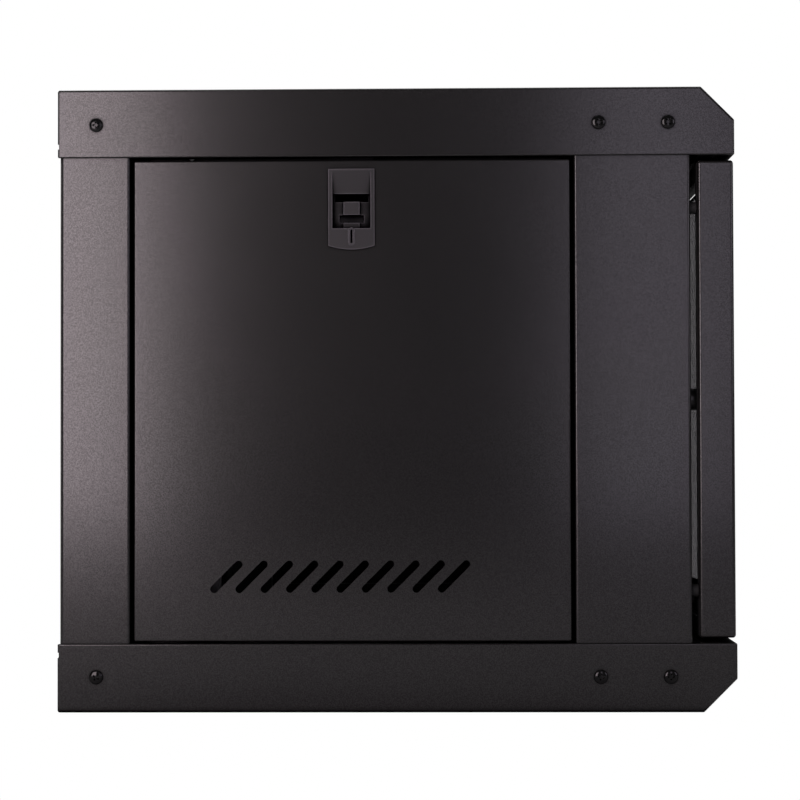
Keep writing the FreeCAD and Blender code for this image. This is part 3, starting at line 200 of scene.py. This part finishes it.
def node_group(name, inputs, outputs, directions=()):
    """Empty shader group with float inputs {name: default}, float outputs and vector outputs."""
    group = bpy.data.node_groups.new(name, "ShaderNodeTree")
    for label, default in inputs.items():
        socket = group.interface.new_socket(label, in_out="INPUT", socket_type="NodeSocketFloat")
        socket.default_value = default
    for label in outputs:
        group.interface.new_socket(label, in_out="OUTPUT", socket_type="NodeSocketFloat")
    for label in directions:
        group.interface.new_socket(label, in_out="OUTPUT", socket_type="NodeSocketVector")
    return group, group.nodes.new("NodeGroupInput"), group.nodes.new("NodeGroupOutput")


def put(tree, kind, inputs=None, **settings):
    """Adds a node; inputs maps a socket to a value, or to the socket that feeds it."""
    node = tree.nodes.new(kind)
    for name, value in settings.items():
        setattr(node, name, value)
    for socket, value in (inputs or {}).items():
        if isinstance(value, bpy.types.NodeSocket):
            tree.links.new(value, node.inputs[socket])
        else:
            node.inputs[socket].default_value = value
    return node


def grain_group():
    """Noise over a surface: fine grains for the bump, specks for the gloss, slow drift for the colour."""
    group, given, out = node_group("Grain", {"Grains per metre": 1400.0, "Drift per metre": 9.0},
                                   ("Height", "Speck", "Drift"))
    turned_place = put(group, "ShaderNodeMapping", {
        "Vector": put(group, "ShaderNodeTexCoord").outputs["Object"], "Rotation": (0.6, 0.9, 0.4)})
    place = turned_place.outputs[0]
    fine = put(group, "ShaderNodeTexNoise", {
        "Vector": place, "Scale": given.outputs["Grains per metre"], "Detail": 2.0, "Roughness": 0.55})
    drift = put(group, "ShaderNodeTexNoise", {
        "Vector": place, "Scale": given.outputs["Drift per metre"], "Detail": 4.0, "Roughness": 0.6})
    specks = put(group, "ShaderNodeTexNoise", {
        "Vector": place, "Scale": given.outputs["Grains per metre"], "Detail": 0.0, "Distortion": 0.6})
    speck = put(group, "ShaderNodeMapRange", {
        "Value": specks.outputs["Fac"], "From Min": SPECK_LIMITS[0], "From Max": SPECK_LIMITS[1]})
    group.links.new(fine.outputs["Fac"], out.inputs["Height"])
    group.links.new(speck.outputs["Result"], out.inputs["Speck"])
    group.links.new(drift.outputs["Fac"], out.inputs["Drift"])
    return group


def edge_group():
    """Mask that is 1 along outer edges, for lightening them partly as rubbed finish and partly as painted
    highlight, and normals that round them.
    """
    group, given, out = node_group("Edge rubbing and highlight", {"Radius": 0.0008}, ("Mask",), ("Rounded",))
    rounded = put(group, "ShaderNodeBevel", {"Radius": given.outputs["Radius"]}, samples=4)
    flat = put(group, "ShaderNodeNewGeometry")
    along = put(group, "ShaderNodeVectorMath", {0: rounded.outputs[0], 1: flat.outputs["Normal"]},
                operation="DOT_PRODUCT")
    mask = put(group, "ShaderNodeMapRange", {
        "Value": along.outputs["Value"], "From Min": WORN_AND_LIT_LIMITS[0], "From Max": WORN_AND_LIT_LIMITS[1]})
    group.links.new(mask.outputs["Result"], out.inputs["Mask"])
    group.links.new(rounded.outputs[0], out.inputs["Rounded"])
    return group


def dust_group():
    """Mask that is higher on faces that look up, broken by noise."""
    group, given, out = node_group("Dust", {"Amount": 0.2}, ("Mask",))
    coordinates = put(group, "ShaderNodeTexCoord")
    up = put(group, "ShaderNodeSeparateXYZ", {0: coordinates.outputs["Normal"]}).outputs["Z"]
    facing = put(group, "ShaderNodeMapRange", {"Value": up, "From Min": DUSTY_FROM, "From Max": 1.0})
    speck = put(group, "ShaderNodeTexNoise", {
        "Vector": coordinates.outputs["Object"], "Scale": 60.0, "Detail": 5.0})
    mixed = put(group, "ShaderNodeMath", {0: facing.outputs["Result"], 1: speck.outputs["Fac"]},
                operation="MULTIPLY")
    scaled = put(group, "ShaderNodeMath", {0: mixed.outputs[0], 1: given.outputs["Amount"]},
                 operation="MULTIPLY")
    group.links.new(scaled.outputs[0], out.inputs["Mask"])
    return group


def painted_shade_group():
    """Mask for painted shade: 1 on open faces, falling to 0 in pockets and gaps, where no light reaches."""
    group, given, out = node_group("Painted shade", {"Reach": 0.006}, ("Open",))
    nearby = put(group, "ShaderNodeAmbientOcclusion", {"Distance": given.outputs["Reach"]}, samples=12)
    mask = put(group, "ShaderNodeMapRange", {
        "Value": nearby.outputs["AO"], "From Min": PAINTED_SHADE_LIMITS[0], "From Max": PAINTED_SHADE_LIMITS[1]})
    group.links.new(mask.outputs["Result"], out.inputs["Open"])
    return group


def shared(name):
    """The node group of that name, made on first use."""
    makers = {"Grain": grain_group, "Edge rubbing and highlight": edge_group, "Dust": dust_group, "Painted shade": painted_shade_group}
    return bpy.data.node_groups.get(name) or makers[name]()


# ---- Materials ----

def blend_colours(tree, low, high, factor):
    """Colour between two colours, by a factor socket."""
    mix = put(tree, "ShaderNodeMix", data_type="RGBA")
    mix.inputs["A"].default_value = (*low, 1.0)
    mix.inputs["B"].default_value = (*high, 1.0)
    tree.links.new(factor, mix.inputs["Factor"])
    return mix.outputs["Result"]


def lighter(colour, by):
    return tuple(min(1.0, channel * by) for channel in colour)


def finish(name, colour, roughness, grain=0.0007, bump=0.08, drift=1.12, wear_and_highlight=1.5, edge=0.0007,
           dust=0.15, metallic=0.0, specular=0.5, grazing=1.0, sparkle=0.0,
           shine=0.0, shade_reach=0.0):
    """Opaque finish: grained colour, edges lighter from rubbing and painted highlight, a little dust, and
    bump.

    grain is the width of one grain, edge the radius of an edge, and shade_reach the width of the pockets
    and gaps in which painted shade darkens the colour and thins the coat; with 0 they do not. drift says
    how many times lighter the colour is where it drifts, wear_and_highlight how many times lighter it is on
    edges, partly from rubbing and partly as a painted highlight. grazing says how many times rougher the
    surface looks edge-on, where its grains shade each other. shine is the weight of a clear coat, sparkle
    how much more of it the specks have.
    """
    material = bpy.data.materials.get(name + "_finish")
    if material:
        return material
    material = bpy.data.materials.new(name + "_finish")
    material.use_nodes = True
    tree = material.node_tree
    shader = tree.nodes["Principled BSDF"]
    grains = put(tree, "ShaderNodeGroup", node_tree=shared("Grain"))
    grains.inputs["Grains per metre"].default_value = 1.0 / grain
    edges = put(tree, "ShaderNodeGroup", node_tree=shared("Edge rubbing and highlight"))
    edges.inputs["Radius"].default_value = edge
    dusty = put(tree, "ShaderNodeGroup", node_tree=shared("Dust"))
    dusty.inputs["Amount"].default_value = dust
    ground = blend_colours(tree, colour, lighter(colour, drift), grains.outputs["Drift"])
    # Edges lightened partly by rubbing and partly as a painted highlight.
    worn_and_lit = put(tree, "ShaderNodeMix", data_type="RGBA")
    tree.links.new(edges.outputs["Mask"], worn_and_lit.inputs["Factor"])
    tree.links.new(ground, worn_and_lit.inputs["A"])
    worn_and_lit.inputs["B"].default_value = (*lighter(colour, wear_and_highlight), 1.0)
    settled = put(tree, "ShaderNodeMix", data_type="RGBA")
    tree.links.new(dusty.outputs["Mask"], settled.inputs["Factor"])
    tree.links.new(worn_and_lit.outputs["Result"], settled.inputs["A"])
    settled.inputs["B"].default_value = (*DUST_COLOUR, 1.0)
    tree.links.new(settled.outputs["Result"], shader.inputs["Base Color"])
    rough = put(tree, "ShaderNodeMapRange", {
        "Value": grains.outputs["Drift"], "To Min": roughness * (1.0 - ROUGHNESS_SPREAD),
        "To Max": min(1.0, roughness * (1.0 + ROUGHNESS_SPREAD))})
    slant = put(tree, "ShaderNodeLayerWeight", {"Blend": 0.5})
    edgeways = put(tree, "ShaderNodeMapRange", {
        "Value": slant.outputs["Facing"], "From Min": SLANT_LIMITS[0], "From Max": SLANT_LIMITS[1],
        "To Min": 1.0, "To Max": grazing})
    gloss = put(tree, "ShaderNodeMath", {0: rough.outputs["Result"], 1: edgeways.outputs[0]},
                operation="MULTIPLY", use_clamp=True)
    tree.links.new(gloss.outputs[0], shader.inputs["Roughness"])
    relief = put(tree, "ShaderNodeBump", {
        "Height": grains.outputs["Height"], "Normal": edges.outputs["Rounded"], "Strength": bump,
        "Distance": grain * 0.5})
    tree.links.new(relief.outputs["Normal"], shader.inputs["Normal"])
    shader.inputs["Metallic"].default_value = metallic
    shader.inputs["Specular IOR Level"].default_value = specular
    coat = put(tree, "ShaderNodeMapRange", {
        "Value": grains.outputs["Speck"], "To Min": shine, "To Max": shine + sparkle}).outputs["Result"]
    # Painted shade: in pockets and gaps the colour darkens towards a small share of itself and the coat
    # fades.
    if shade_reach:
        pockets = put(tree, "ShaderNodeGroup", node_tree=shared("Painted shade"))
        pockets.inputs["Reach"].default_value = shade_reach
        shaded = put(tree, "ShaderNodeMix", {"Factor": pockets.outputs["Open"]}, data_type="RGBA")
        shaded.inputs["A"].default_value = (*lighter(colour, PAINTED_SHADE_SHARE), 1.0)
        tree.links.new(settled.outputs["Result"], shaded.inputs["B"])
        tree.links.new(shaded.outputs["Result"], shader.inputs["Base Color"])
        coat = put(tree, "ShaderNodeMath", {0: coat, 1: pockets.outputs["Open"]},
                   operation="MULTIPLY").outputs[0]
    if shine or sparkle:
        tree.links.new(coat, shader.inputs["Coat Weight"])
        tree.links.new(gloss.outputs[0], shader.inputs["Coat Roughness"])
    return material


def black_screw_finish():
    """The one finish of the cover screws and of the other black screws."""
    return finish("black_screw", colour=(0.002, 0.002, 0.002), roughness=0.09, grain=0.0006, bump=0.04,
                  wear_and_highlight=3.0, edge=0.0003, dust=0.0, specular=0.26)


def tinted_glass(colour):
    """Toughened sheet glass with a grey tint and the faint waviness of tempering."""
    material = bpy.data.materials.new("tinted_glass_finish")
    material.use_nodes = True
    tree = material.node_tree
    shader = tree.nodes["Principled BSDF"]
    grains = put(tree, "ShaderNodeGroup", node_tree=shared("Grain"))
    grains.inputs["Grains per metre"].default_value = 12.0
    tint = blend_colours(tree, colour, lighter(colour, 1.04), grains.outputs["Drift"])
    tree.links.new(tint, shader.inputs["Base Color"])
    relief = put(tree, "ShaderNodeBump", {"Height": grains.outputs["Height"], "Strength": 0.02,
                                          "Distance": 0.001})
    tree.links.new(relief.outputs["Normal"], shader.inputs["Normal"])
    shader.inputs["Roughness"].default_value = 0.01
    shader.inputs["IOR"].default_value = 1.5
    shader.inputs["Transmission Weight"].default_value = 1.0
    return material


def wear_slot(finishes, *slots):
    """Puts a finish on every CAD node of the given material slots."""
    nodes = [node for node, slot in SLOT_OF.items() if slot in slots]
    if not nodes:
        raise RuntimeError(f"no node of the cabinet uses {slots}")
    for node in nodes:
        put_on(frame["nodes"][node], finishes)


def put_on(piece, material):
    piece.data.materials.clear()
    piece.data.materials.append(material)


# ---- Mesh helpers ----

def new_piece(name, mesh, body, material):
    """Links a mesh as a piece that rides on a body."""
    piece = bpy.data.objects.new(name, mesh)
    bpy.context.scene.collection.objects.link(piece)
    put_on(piece, material)
    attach(piece, body)
    return piece


def solids_of(node):
    """Lowest and highest corner of each separate solid in a CAD node."""
    work = bmesh.new()
    work.from_mesh(frame["nodes"][node].data)
    bmesh.ops.remove_doubles(work, verts=work.verts, dist=1e-6)
    left, found = set(work.verts), []
    while left:
        first = left.pop()
        island, edge = {first}, [first]
        while edge:
            for link in edge.pop().link_edges:
                for vertex in link.verts:
                    if vertex in left:
                        left.remove(vertex)
                        island.add(vertex)
                        edge.append(vertex)
        low = Vector([min(vertex.co[i] for vertex in island) for i in range(3)])
        high = Vector([max(vertex.co[i] for vertex in island) for i in range(3)])
        found.append((low, high))
    work.free()
    return sorted(found, key=lambda pair: tuple(round(value, 4) for value in pair[0]))


def turned(profile, segments):
    """Closed mesh turned about Z from (radius, height) points that start and end on the axis."""
    work = bmesh.new()
    rings = []
    for radius, height in profile:
        if radius == 0.0:
            rings.append([work.verts.new((0.0, 0.0, height))])
        else:
            rings.append([work.verts.new((radius * math.cos(turn), radius * math.sin(turn), height))
                          for turn in (math.tau * step / segments for step in range(segments))])
    for one, two in zip(rings, rings[1:]):
        for step in range(segments):
            corners = [one[step % len(one)], one[(step + 1) % len(one)],
                       two[(step + 1) % len(two)], two[step % len(two)]]
            work.faces.new(list(dict.fromkeys(corners)))
    bmesh.ops.recalc_face_normals(work, faces=work.faces)
    return work


def mesh_from(work, name, smooth=True):
    mesh = bpy.data.meshes.new(name)
    work.to_mesh(mesh)
    work.free()
    for face in mesh.polygons:
        face.use_smooth = smooth
    return mesh


def cut_by(mesh, tool, name):
    """The mesh less the tool, as a new mesh."""
    body = bpy.data.objects.new(name, mesh)
    cutter = bpy.data.objects.new(name + "_tool", tool)
    for thing in (body, cutter):
        bpy.context.scene.collection.objects.link(thing)
    cut = body.modifiers.new("cut", "BOOLEAN")
    cut.operation, cut.solver, cut.object = "DIFFERENCE", "EXACT", cutter
    result = bpy.data.meshes.new_from_object(body.evaluated_get(bpy.context.evaluated_depsgraph_get()))
    for thing in (body, cutter):
        bpy.data.objects.remove(thing)
    return result


def copies(mesh, places):
    """One mesh that holds a copy of another at each placing matrix."""
    work = bmesh.new()
    for place in places:
        one = mesh.copy()
        one.transform(place)
        work.from_mesh(one)
        bpy.data.meshes.remove(one)
    return work


# ---- Pieces ----

def pan_head(sizes, head_height, length):
    """Pan-head screw with a tapered cross recess; its seat is at z = 0 and its head points up."""
    radius, shank = sizes.head_radius, sizes.shank_radius
    wall, crown, flat_top = 0.42, 0.58, 0.15    # of the head's height, of its height, of its radius
    tip_radius, tip_slope = 0.7, 0.4            # of the shank's radius
    seat_radius, seat_slope = 0.96, 0.08        # of the head's radius, of its height
    dome = [(radius * math.cos(turn), head_height * (wall + crown * math.sin(turn)))
            for turn in (math.radians(angle) for angle in range(0, 90, 10))]
    dome = [(across, up) for across, up in dome if across > radius * flat_top]
    profile = [(0.0, -length), (shank * tip_radius, -length), (shank, -length + shank * tip_slope),
               (shank, 0.0), (radius * seat_radius, 0.0), (radius, head_height * seat_slope), *dome,
               (0.0, head_height)]
    head = mesh_from(turned(profile, segments=40), "cover_screw")
    cross = bmesh.new()
    arm_half_width = 0.24                       # of the arm's reach
    above, wide, narrow = 0.001, 1.3, 0.5       # start over the crown; growth there, growth at the bottom
    reach, half = sizes.recess_reach, sizes.recess_reach * arm_half_width
    loops = []
    for height, grow in ((head_height + above, wide), (head_height - sizes.recess_depth, narrow)):
        tip, side = reach * grow, half * (0.4 + 0.6 * grow)
        corners = [(tip, -side), (tip, side), (side, side), (side, tip), (-side, tip), (-side, side),
                   (-tip, side), (-tip, -side), (-side, -side), (-side, -tip), (side, -tip), (side, -side)]
        loops.append([cross.verts.new((x, y, height)) for x, y in corners])
    count = len(loops[0])
    for step in range(count):
        after = (step + 1) % count
        cross.faces.new((loops[0][step], loops[0][after], loops[1][after], loops[1][step]))
    cross.faces.new(loops[0])
    cross.faces.new(loops[1])
    bmesh.ops.recalc_face_normals(cross, faces=cross.faces)
    return cut_by(head, mesh_from(cross, "cross_recess", smooth=False), "cover_screw")


class CABINET_OT_coat_sheets(bpy.types.Operator):
    """Puts the textured powder coat on the covers, posts, panels, brackets and door frame"""
    bl_idname = "cabinet.coat_sheets"
    bl_label = "Coat the folded sheets"

    def execute(self, context):
        look = context.scene.cabinet_finish
        # Edges 1.9 times lighter are partly rubbing and partly a painted highlight; pockets and gaps get
        # painted shade.
        coat = finish("powder_coat", look.coat, look.coat_roughness, grain=look.grain, bump=0.14,
                      drift=1.15, wear_and_highlight=1.9, edge=0.0009, dust=0.10, specular=0.0, grazing=4.5,
                      shine=0.70, sparkle=0.42, shade_reach=0.006)
        wear_slot(coat, "powder_coat")
        return {"FINISHED"}


class CABINET_OT_dress_rails(bpy.types.Operator):
    """Puts the smooth coat on the rack rails"""
    bl_idname = "cabinet.dress_rails"
    bl_label = "Coat the rack rails"

    def execute(self, context):
        look = context.scene.cabinet_finish
        wear_slot(finish("rail_coat", look.rail, roughness=0.34, grain=0.0015, bump=0.10, wear_and_highlight=2.2,
                         edge=0.0006, dust=0.08), "rail_coat")
        return {"FINISHED"}


class CABINET_OT_number_rails(bpy.types.Operator):
    """Prints a unit number beside each rack unit of the front rails"""
    bl_idname = "cabinet.number_rails"
    bl_label = "Number the rack units"

    def execute(self, context):
        look, sizes = context.scene.cabinet_finish, context.scene.cabinet_sizes
        ink = finish("rail_mark_ink", look.mark, roughness=0.6, grain=0.0006, bump=0.15, drift=0.85,
                     wear_and_highlight=0.9, dust=0.0)
        for side in ("left", "right"):
            rail = f"rack_rail_front_{side}"
            low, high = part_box(rail)
            outer, inner = (low.x, high.x) if side == "left" else (high.x, low.x)
            column = outer + (inner - outer) * MARK_COLUMN
            pitch = (high.z - low.z - 2 * RAIL_MARGIN) / sizes.rack_units
            work = bmesh.new()
            for unit in range(sizes.rack_units):
                text = bpy.data.curves.new("unit_number", "FONT")
                text.body, text.size = str(unit + 1), sizes.mark_height
                text.align_x, text.align_y, text.extrude = "CENTER", "CENTER", INK_RELIEF
                carrier = bpy.data.objects.new("unit_number", text)
                bpy.context.scene.collection.objects.link(carrier)
                bpy.context.view_layer.update()
                mesh = bpy.data.meshes.new_from_object(
                    carrier.evaluated_get(bpy.context.evaluated_depsgraph_get()))
                at = Vector((column, low.y - INK_LIFT, low.z + RAIL_MARGIN + (unit + 0.5) * pitch))
                mesh.transform(Matrix.Translation(at) @ Matrix.Rotation(math.pi / 2, 4, "X"))
                work.from_mesh(mesh)
                bpy.data.objects.remove(carrier)
                bpy.data.meshes.remove(mesh)
            new_piece(f"unit_numbers_{side}", mesh_from(work, "unit_numbers", smooth=False),
                      BODY_OF[rail], ink)
        return {"FINISHED"}


class CABINET_OT_set_cover_screws(bpy.types.Operator):
    """Replaces the cover screws by pan heads with a tapered cross recess"""
    bl_idname = "cabinet.set_cover_screws"
    bl_label = "Set the cover screws"

    def execute(self, context):
        sizes = context.scene.cabinet_sizes
        seat = max(abs(value.x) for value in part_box("top_cover"))
        places, length, height = [], 0.0, 0.0
        for low, high in solids_of("cover_screws"):
            side = 1.0 if low.x > 0.0 else -1.0
            tip, crown = min(abs(low.x), abs(high.x)), max(abs(low.x), abs(high.x))
            length, height = seat - tip, crown - seat
            middle = (low + high) / 2
            turn = Matrix.Rotation(side * math.pi / 2, 4, "Y")
            spin = Matrix.Rotation(math.radians(SCREW_TURN * len(places)), 4, "Z")
            places.append(Matrix.Translation((side * seat, middle.y, middle.z)) @ turn @ spin)
        screw = pan_head(sizes, height, length)
        black = black_screw_finish()
        mesh = mesh_from(copies(screw, places), "cover_screws_turned")
        heads = new_piece("cover_screws_turned", mesh, BODY_OF["cover_screws"], black)
        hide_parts("cover_screws")
        soften = heads.modifiers.new("sharp_edges", "EDGE_SPLIT")
        soften.split_angle = SHARP_ANGLE
        return {"FINISHED"}


class CABINET_OT_dress_fasteners(bpy.types.Operator):
    """Finishes the other screws, nuts, studs and springs"""
    bl_idname = "cabinet.dress_fasteners"
    bl_label = "Finish the fasteners"

    def execute(self, context):
        black = black_screw_finish()
        zinc = finish("zinc_steel", colour=(0.52, 0.53, 0.55), roughness=0.30, grain=0.0006, bump=0.10,
                      drift=1.10, wear_and_highlight=1.15, edge=0.0004, dust=0.02, metallic=1.0)
        spring = finish("spring_steel", colour=(0.40, 0.40, 0.41), roughness=0.26, grain=0.0003,
                        bump=0.06, drift=1.08, wear_and_highlight=1.2, edge=0.0002, dust=0.0, metallic=1.0)
        wear_slot(black, "black_screw")
        wear_slot(zinc, "zinc_steel")
        wear_slot(spring, "spring_steel")
        return {"FINISHED"}


class CABINET_OT_dress_latches(bpy.types.Operator):
    """Finishes the moulded slide latches of the side panels"""
    bl_idname = "cabinet.dress_latches"
    bl_label = "Finish the slide latches"

    def execute(self, context):
        look = context.scene.cabinet_finish
        # The latch's edges, 14 times lighter, are a painted highlight, and its pocket, channel and slots
        # get painted shade.
        wear_slot(finish("latch_plastic", look.latch, roughness=0.28, grain=0.0005, bump=0.16, drift=1.1,
                         wear_and_highlight=14.0, edge=0.0012, dust=0.05, specular=0.0, shine=0.85, shade_reach=0.012),
                  "latch_plastic")
        return {"FINISHED"}


class CABINET_OT_glaze_door(bpy.types.Operator):
    """Puts the tinted glass and its foam tape in the door"""
    bl_idname = "cabinet.glaze_door"
    bl_label = "Glaze the door"

    def execute(self, context):
        wear_slot(tinted_glass(context.scene.cabinet_finish.glass), "tinted_glass")
        wear_slot(finish("foam_seal", colour=(0.014, 0.014, 0.014), roughness=0.9, grain=0.0009, bump=0.6,
                         drift=1.3, wear_and_highlight=1.2, dust=0.0, specular=0.2), "foam_seal")
        return {"FINISHED"}


class CABINET_OT_dress_lock(bpy.types.Operator):
    """Finishes the cam lock: black cup and bright plug"""
    bl_idname = "cabinet.dress_lock"
    bl_label = "Finish the lock"

    def execute(self, context):
        wear_slot(finish("black_lock", colour=(0.014, 0.014, 0.015), roughness=0.28, grain=0.0008,
                         bump=0.05, wear_and_highlight=2.5, edge=0.0005, dust=0.05), "black_lock")
        wear_slot(finish("chrome_plug", colour=(0.72, 0.72, 0.73), roughness=0.12, grain=0.0005,
                         bump=0.02, drift=1.04, wear_and_highlight=1.1, edge=0.0003, dust=0.0, metallic=1.0),
                  "chrome_plug")
        return {"FINISHED"}


class CABINET_OT_dress_soft_parts(bpy.types.Operator):
    """Finishes the nylon hinge bushes and the rubber buffers of the door"""
    bl_idname = "cabinet.dress_soft_parts"
    bl_label = "Finish bushes and buffers"

    def execute(self, context):
        wear_slot(finish("nylon", colour=(0.022, 0.022, 0.022), roughness=0.5, grain=0.0012, bump=0.05,
                         wear_and_highlight=1.5, dust=0.03), "nylon")
        wear_slot(finish("rubber", colour=(0.012, 0.012, 0.012), roughness=0.75, grain=0.0006, bump=0.25,
                         wear_and_highlight=1.3, dust=0.12, specular=0.3), "rubber")
        return {"FINISHED"}


# ---- Stage ----

def pale_where_seen(tree, shaded, emission, behind):
    """Mixes a plain white glow over a shader where rays show the background.

    Camera and transmitted rays see all of the glow, glossy rays the share that behind gives.
    """
    path = put(tree, "ShaderNodeLightPath")
    mirrored = put(tree, "ShaderNodeMath", {0: path.outputs["Is Glossy Ray"], 1: behind},
                   operation="MULTIPLY")
    seen = put(tree, "ShaderNodeMath", {0: path.outputs["Is Camera Ray"],
                                        1: path.outputs["Is Transmission Ray"]}, operation="MAXIMUM")
    white = put(tree, "ShaderNodeMath", {0: seen.outputs[0], 1: mirrored.outputs[0]}, operation="MAXIMUM")
    return put(tree, "ShaderNodeMixShader", {0: white.outputs[0], 1: shaded, 2: emission})


def beyond(tree, place, start, end):
    """Share of the glow to mirror: none where X is under start, MIRRORED_GLOW where it is over end."""
    across = put(tree, "ShaderNodeSeparateXYZ", {0: place}).outputs["X"]
    return put(tree, "ShaderNodeMapRange", {
        "Value": across, "From Min": start, "From Max": end, "To Max": MIRRORED_GLOW}).outputs[0]


def soft_lamp(name, at, aim, size, power, colour=(1.0, 1.0, 1.0)):
    """Flat soft lamp at a place, aimed at a point; size is its width and height."""
    lamp = bpy.data.lights.new(name, "AREA")
    lamp.shape, lamp.energy, lamp.color = "RECTANGLE", power, colour
    lamp.size, lamp.size_y = size
    holder = bpy.data.objects.new(name, lamp)
    holder.location = at
    holder.rotation_euler = (Vector(aim) - Vector(at)).to_track_quat("-Z", "Y").to_euler()
    bpy.context.scene.collection.objects.link(holder)


class CABINET_OT_set_stage(bpy.types.Operator):
    """Lays the pale floor and hangs the soft studio lamps"""
    bl_idname = "cabinet.set_stage"
    bl_label = "Set the stage"

    def execute(self, context):
        stage = context.scene.cabinet_stage
        reach = stage.floor_reach
        work = bmesh.new()
        bmesh.ops.create_grid(work, x_segments=4, y_segments=4, size=reach)
        floor = bpy.data.objects.new("floor", mesh_from(work, "floor"))
        floor.location.z = CAD_BOUNDS[0].z - FLOOR_GAP
        bpy.context.scene.collection.objects.link(floor)
        paint = bpy.data.materials.new("pale_floor")
        paint.use_nodes = True
        tree = paint.node_tree
        shader = tree.nodes["Principled BSDF"]
        shader.inputs["Base Color"].default_value = FLOOR_COLOUR
        shader.inputs["Roughness"].default_value = 0.9
        shader.inputs["Specular IOR Level"].default_value = 0.0
        glow = put(tree, "ShaderNodeEmission", {"Color": WHITE, "Strength": 1.0})
        place = put(tree, "ShaderNodeNewGeometry").outputs["Position"]
        behind = beyond(tree, place, CAD_BOUNDS[0].x, CAD_BOUNDS[1].x)
        mixed = pale_where_seen(tree, shader.outputs[0], glow.outputs[0], behind)
        tree.links.new(mixed.outputs[0], tree.nodes["Material Output"].inputs["Surface"])
        put_on(floor, paint)

        world = bpy.data.worlds.new("studio")
        context.scene.world = world
        world.use_nodes = True
        sky = world.node_tree
        even = sky.nodes["Background"]
        even.inputs["Color"].default_value = WHITE
        even.inputs["Strength"].default_value = stage.ambient
        white = put(sky, "ShaderNodeBackground", {"Color": WHITE, "Strength": 1.0})
        direction = put(sky, "ShaderNodeTexCoord").outputs["Generated"]
        mixed = pale_where_seen(sky, even.outputs[0], white.outputs[0], beyond(sky, direction, -0.2, 0.4))
        sky.links.new(mixed.outputs[0], sky.nodes["World Output"].inputs["Surface"])

        low, high = CAD_BOUNDS
        middle = (low + high) / 2
        soft_lamp("key_lamp", (-2.3, 1.02, 0.71), (0.0, 1.02, 0.71), (1.1, 1.28), stage.key_power, ROSY)
        soft_lamp("fill_lamp", (-2.3, -0.42, 0.68), (0.0, -0.42, 0.68), (0.32, 1.2), stage.fill_power, COOL)
        soft_lamp("corner_lamp", (-1.9, -1.9, 0.82), (low.x, low.y, middle.z), (0.9, 1.0),
                  stage.corner_power, COOL)
        soft_lamp("front_lamp", (0.9, -2.3, 1.3), (middle.x, low.y, middle.z), (1.2, 1.0),
                  stage.front_power)
        soft_lamp("rear_lamp", (2.2, 1.6, 1.2), (high.x, middle.y, middle.z), (1.2, 1.2), stage.rear_power)
        soft_lamp("top_lamp", (0.3, 0.2, 2.6), middle, (1.6, 1.6), stage.top_power)
        return {"FINISHED"}


class CABINET_OT_set_camera(bpy.types.Operator):
    """Sets the camera square on to the cabinet's left side"""
    bl_idname = "cabinet.set_camera"
    bl_label = "Set the camera"

    def execute(self, context):
        stage = context.scene.cabinet_stage
        camera = bpy.data.objects.new("camera", bpy.data.cameras.new("camera"))
        camera.data.sensor_width, camera.data.lens = 36.0, stage.lens
        camera.location = stage.camera_place
        look = (Vector(stage.camera_aim) - Vector(stage.camera_place)).to_track_quat("-Z", "Y")
        camera.rotation_euler = (look.to_matrix() @ Matrix.Rotation(stage.camera_roll, 3, "Z")).to_euler()
        context.scene.collection.objects.link(camera)
        context.scene.camera = camera
        context.scene.view_settings.view_transform = "Standard"
        return {"FINISHED"}


OPERATORS = (
    CABINET_OT_coat_sheets, CABINET_OT_dress_rails, CABINET_OT_number_rails, CABINET_OT_set_cover_screws,
    CABINET_OT_dress_fasteners, CABINET_OT_dress_latches, CABINET_OT_glaze_door, CABINET_OT_dress_lock,
    CABINET_OT_dress_soft_parts, CABINET_OT_set_stage, CABINET_OT_set_camera,
)


class CABINET_PT_sidebar(bpy.types.Panel):
    """Lists the cabinet's settings and the buttons of its steps"""
    bl_idname = "CABINET_PT_sidebar"
    bl_label = "Wall mount cabinet"
    bl_space_type = "VIEW_3D"
    bl_region_type = "UI"
    bl_category = "Cabinet"

    def draw(self, context):
        for settings in (context.scene.cabinet_finish, context.scene.cabinet_sizes,
                         context.scene.cabinet_stage):
            column = self.layout.column(align=True)
            for name in settings.__annotations__:
                column.prop(settings, name)
        for operator in OPERATORS:
            self.layout.operator(operator.bl_idname)


SETTINGS = {"cabinet_finish": CabinetFinish, "cabinet_sizes": CabinetSizes, "cabinet_stage": CabinetStage}


def register():
    for group in SETTINGS.values():
        bpy.utils.register_class(group)
    for name, group in SETTINGS.items():
        setattr(bpy.types.Scene, name, PointerProperty(type=group))
    for operator in OPERATORS:
        bpy.utils.register_class(operator)
    bpy.utils.register_class(CABINET_PT_sidebar)


def unregister():
    bpy.utils.unregister_class(CABINET_PT_sidebar)
    for operator in reversed(OPERATORS):
        bpy.utils.unregister_class(operator)
    for name, group in SETTINGS.items():
        delattr(bpy.types.Scene, name)
        bpy.utils.unregister_class(group)


def main():
    register()
    bpy.ops.cabinet.set_camera()
    bpy.ops.cabinet.coat_sheets()
    bpy.ops.cabinet.dress_rails()
    bpy.ops.cabinet.number_rails()
    bpy.ops.cabinet.set_cover_screws()
    bpy.ops.cabinet.dress_fasteners()
    bpy.ops.cabinet.dress_latches()
    bpy.ops.cabinet.glaze_door()
    bpy.ops.cabinet.dress_lock()
    bpy.ops.cabinet.dress_soft_parts()
    bpy.ops.cabinet.set_stage()


if __name__ == "__main__":
    main()
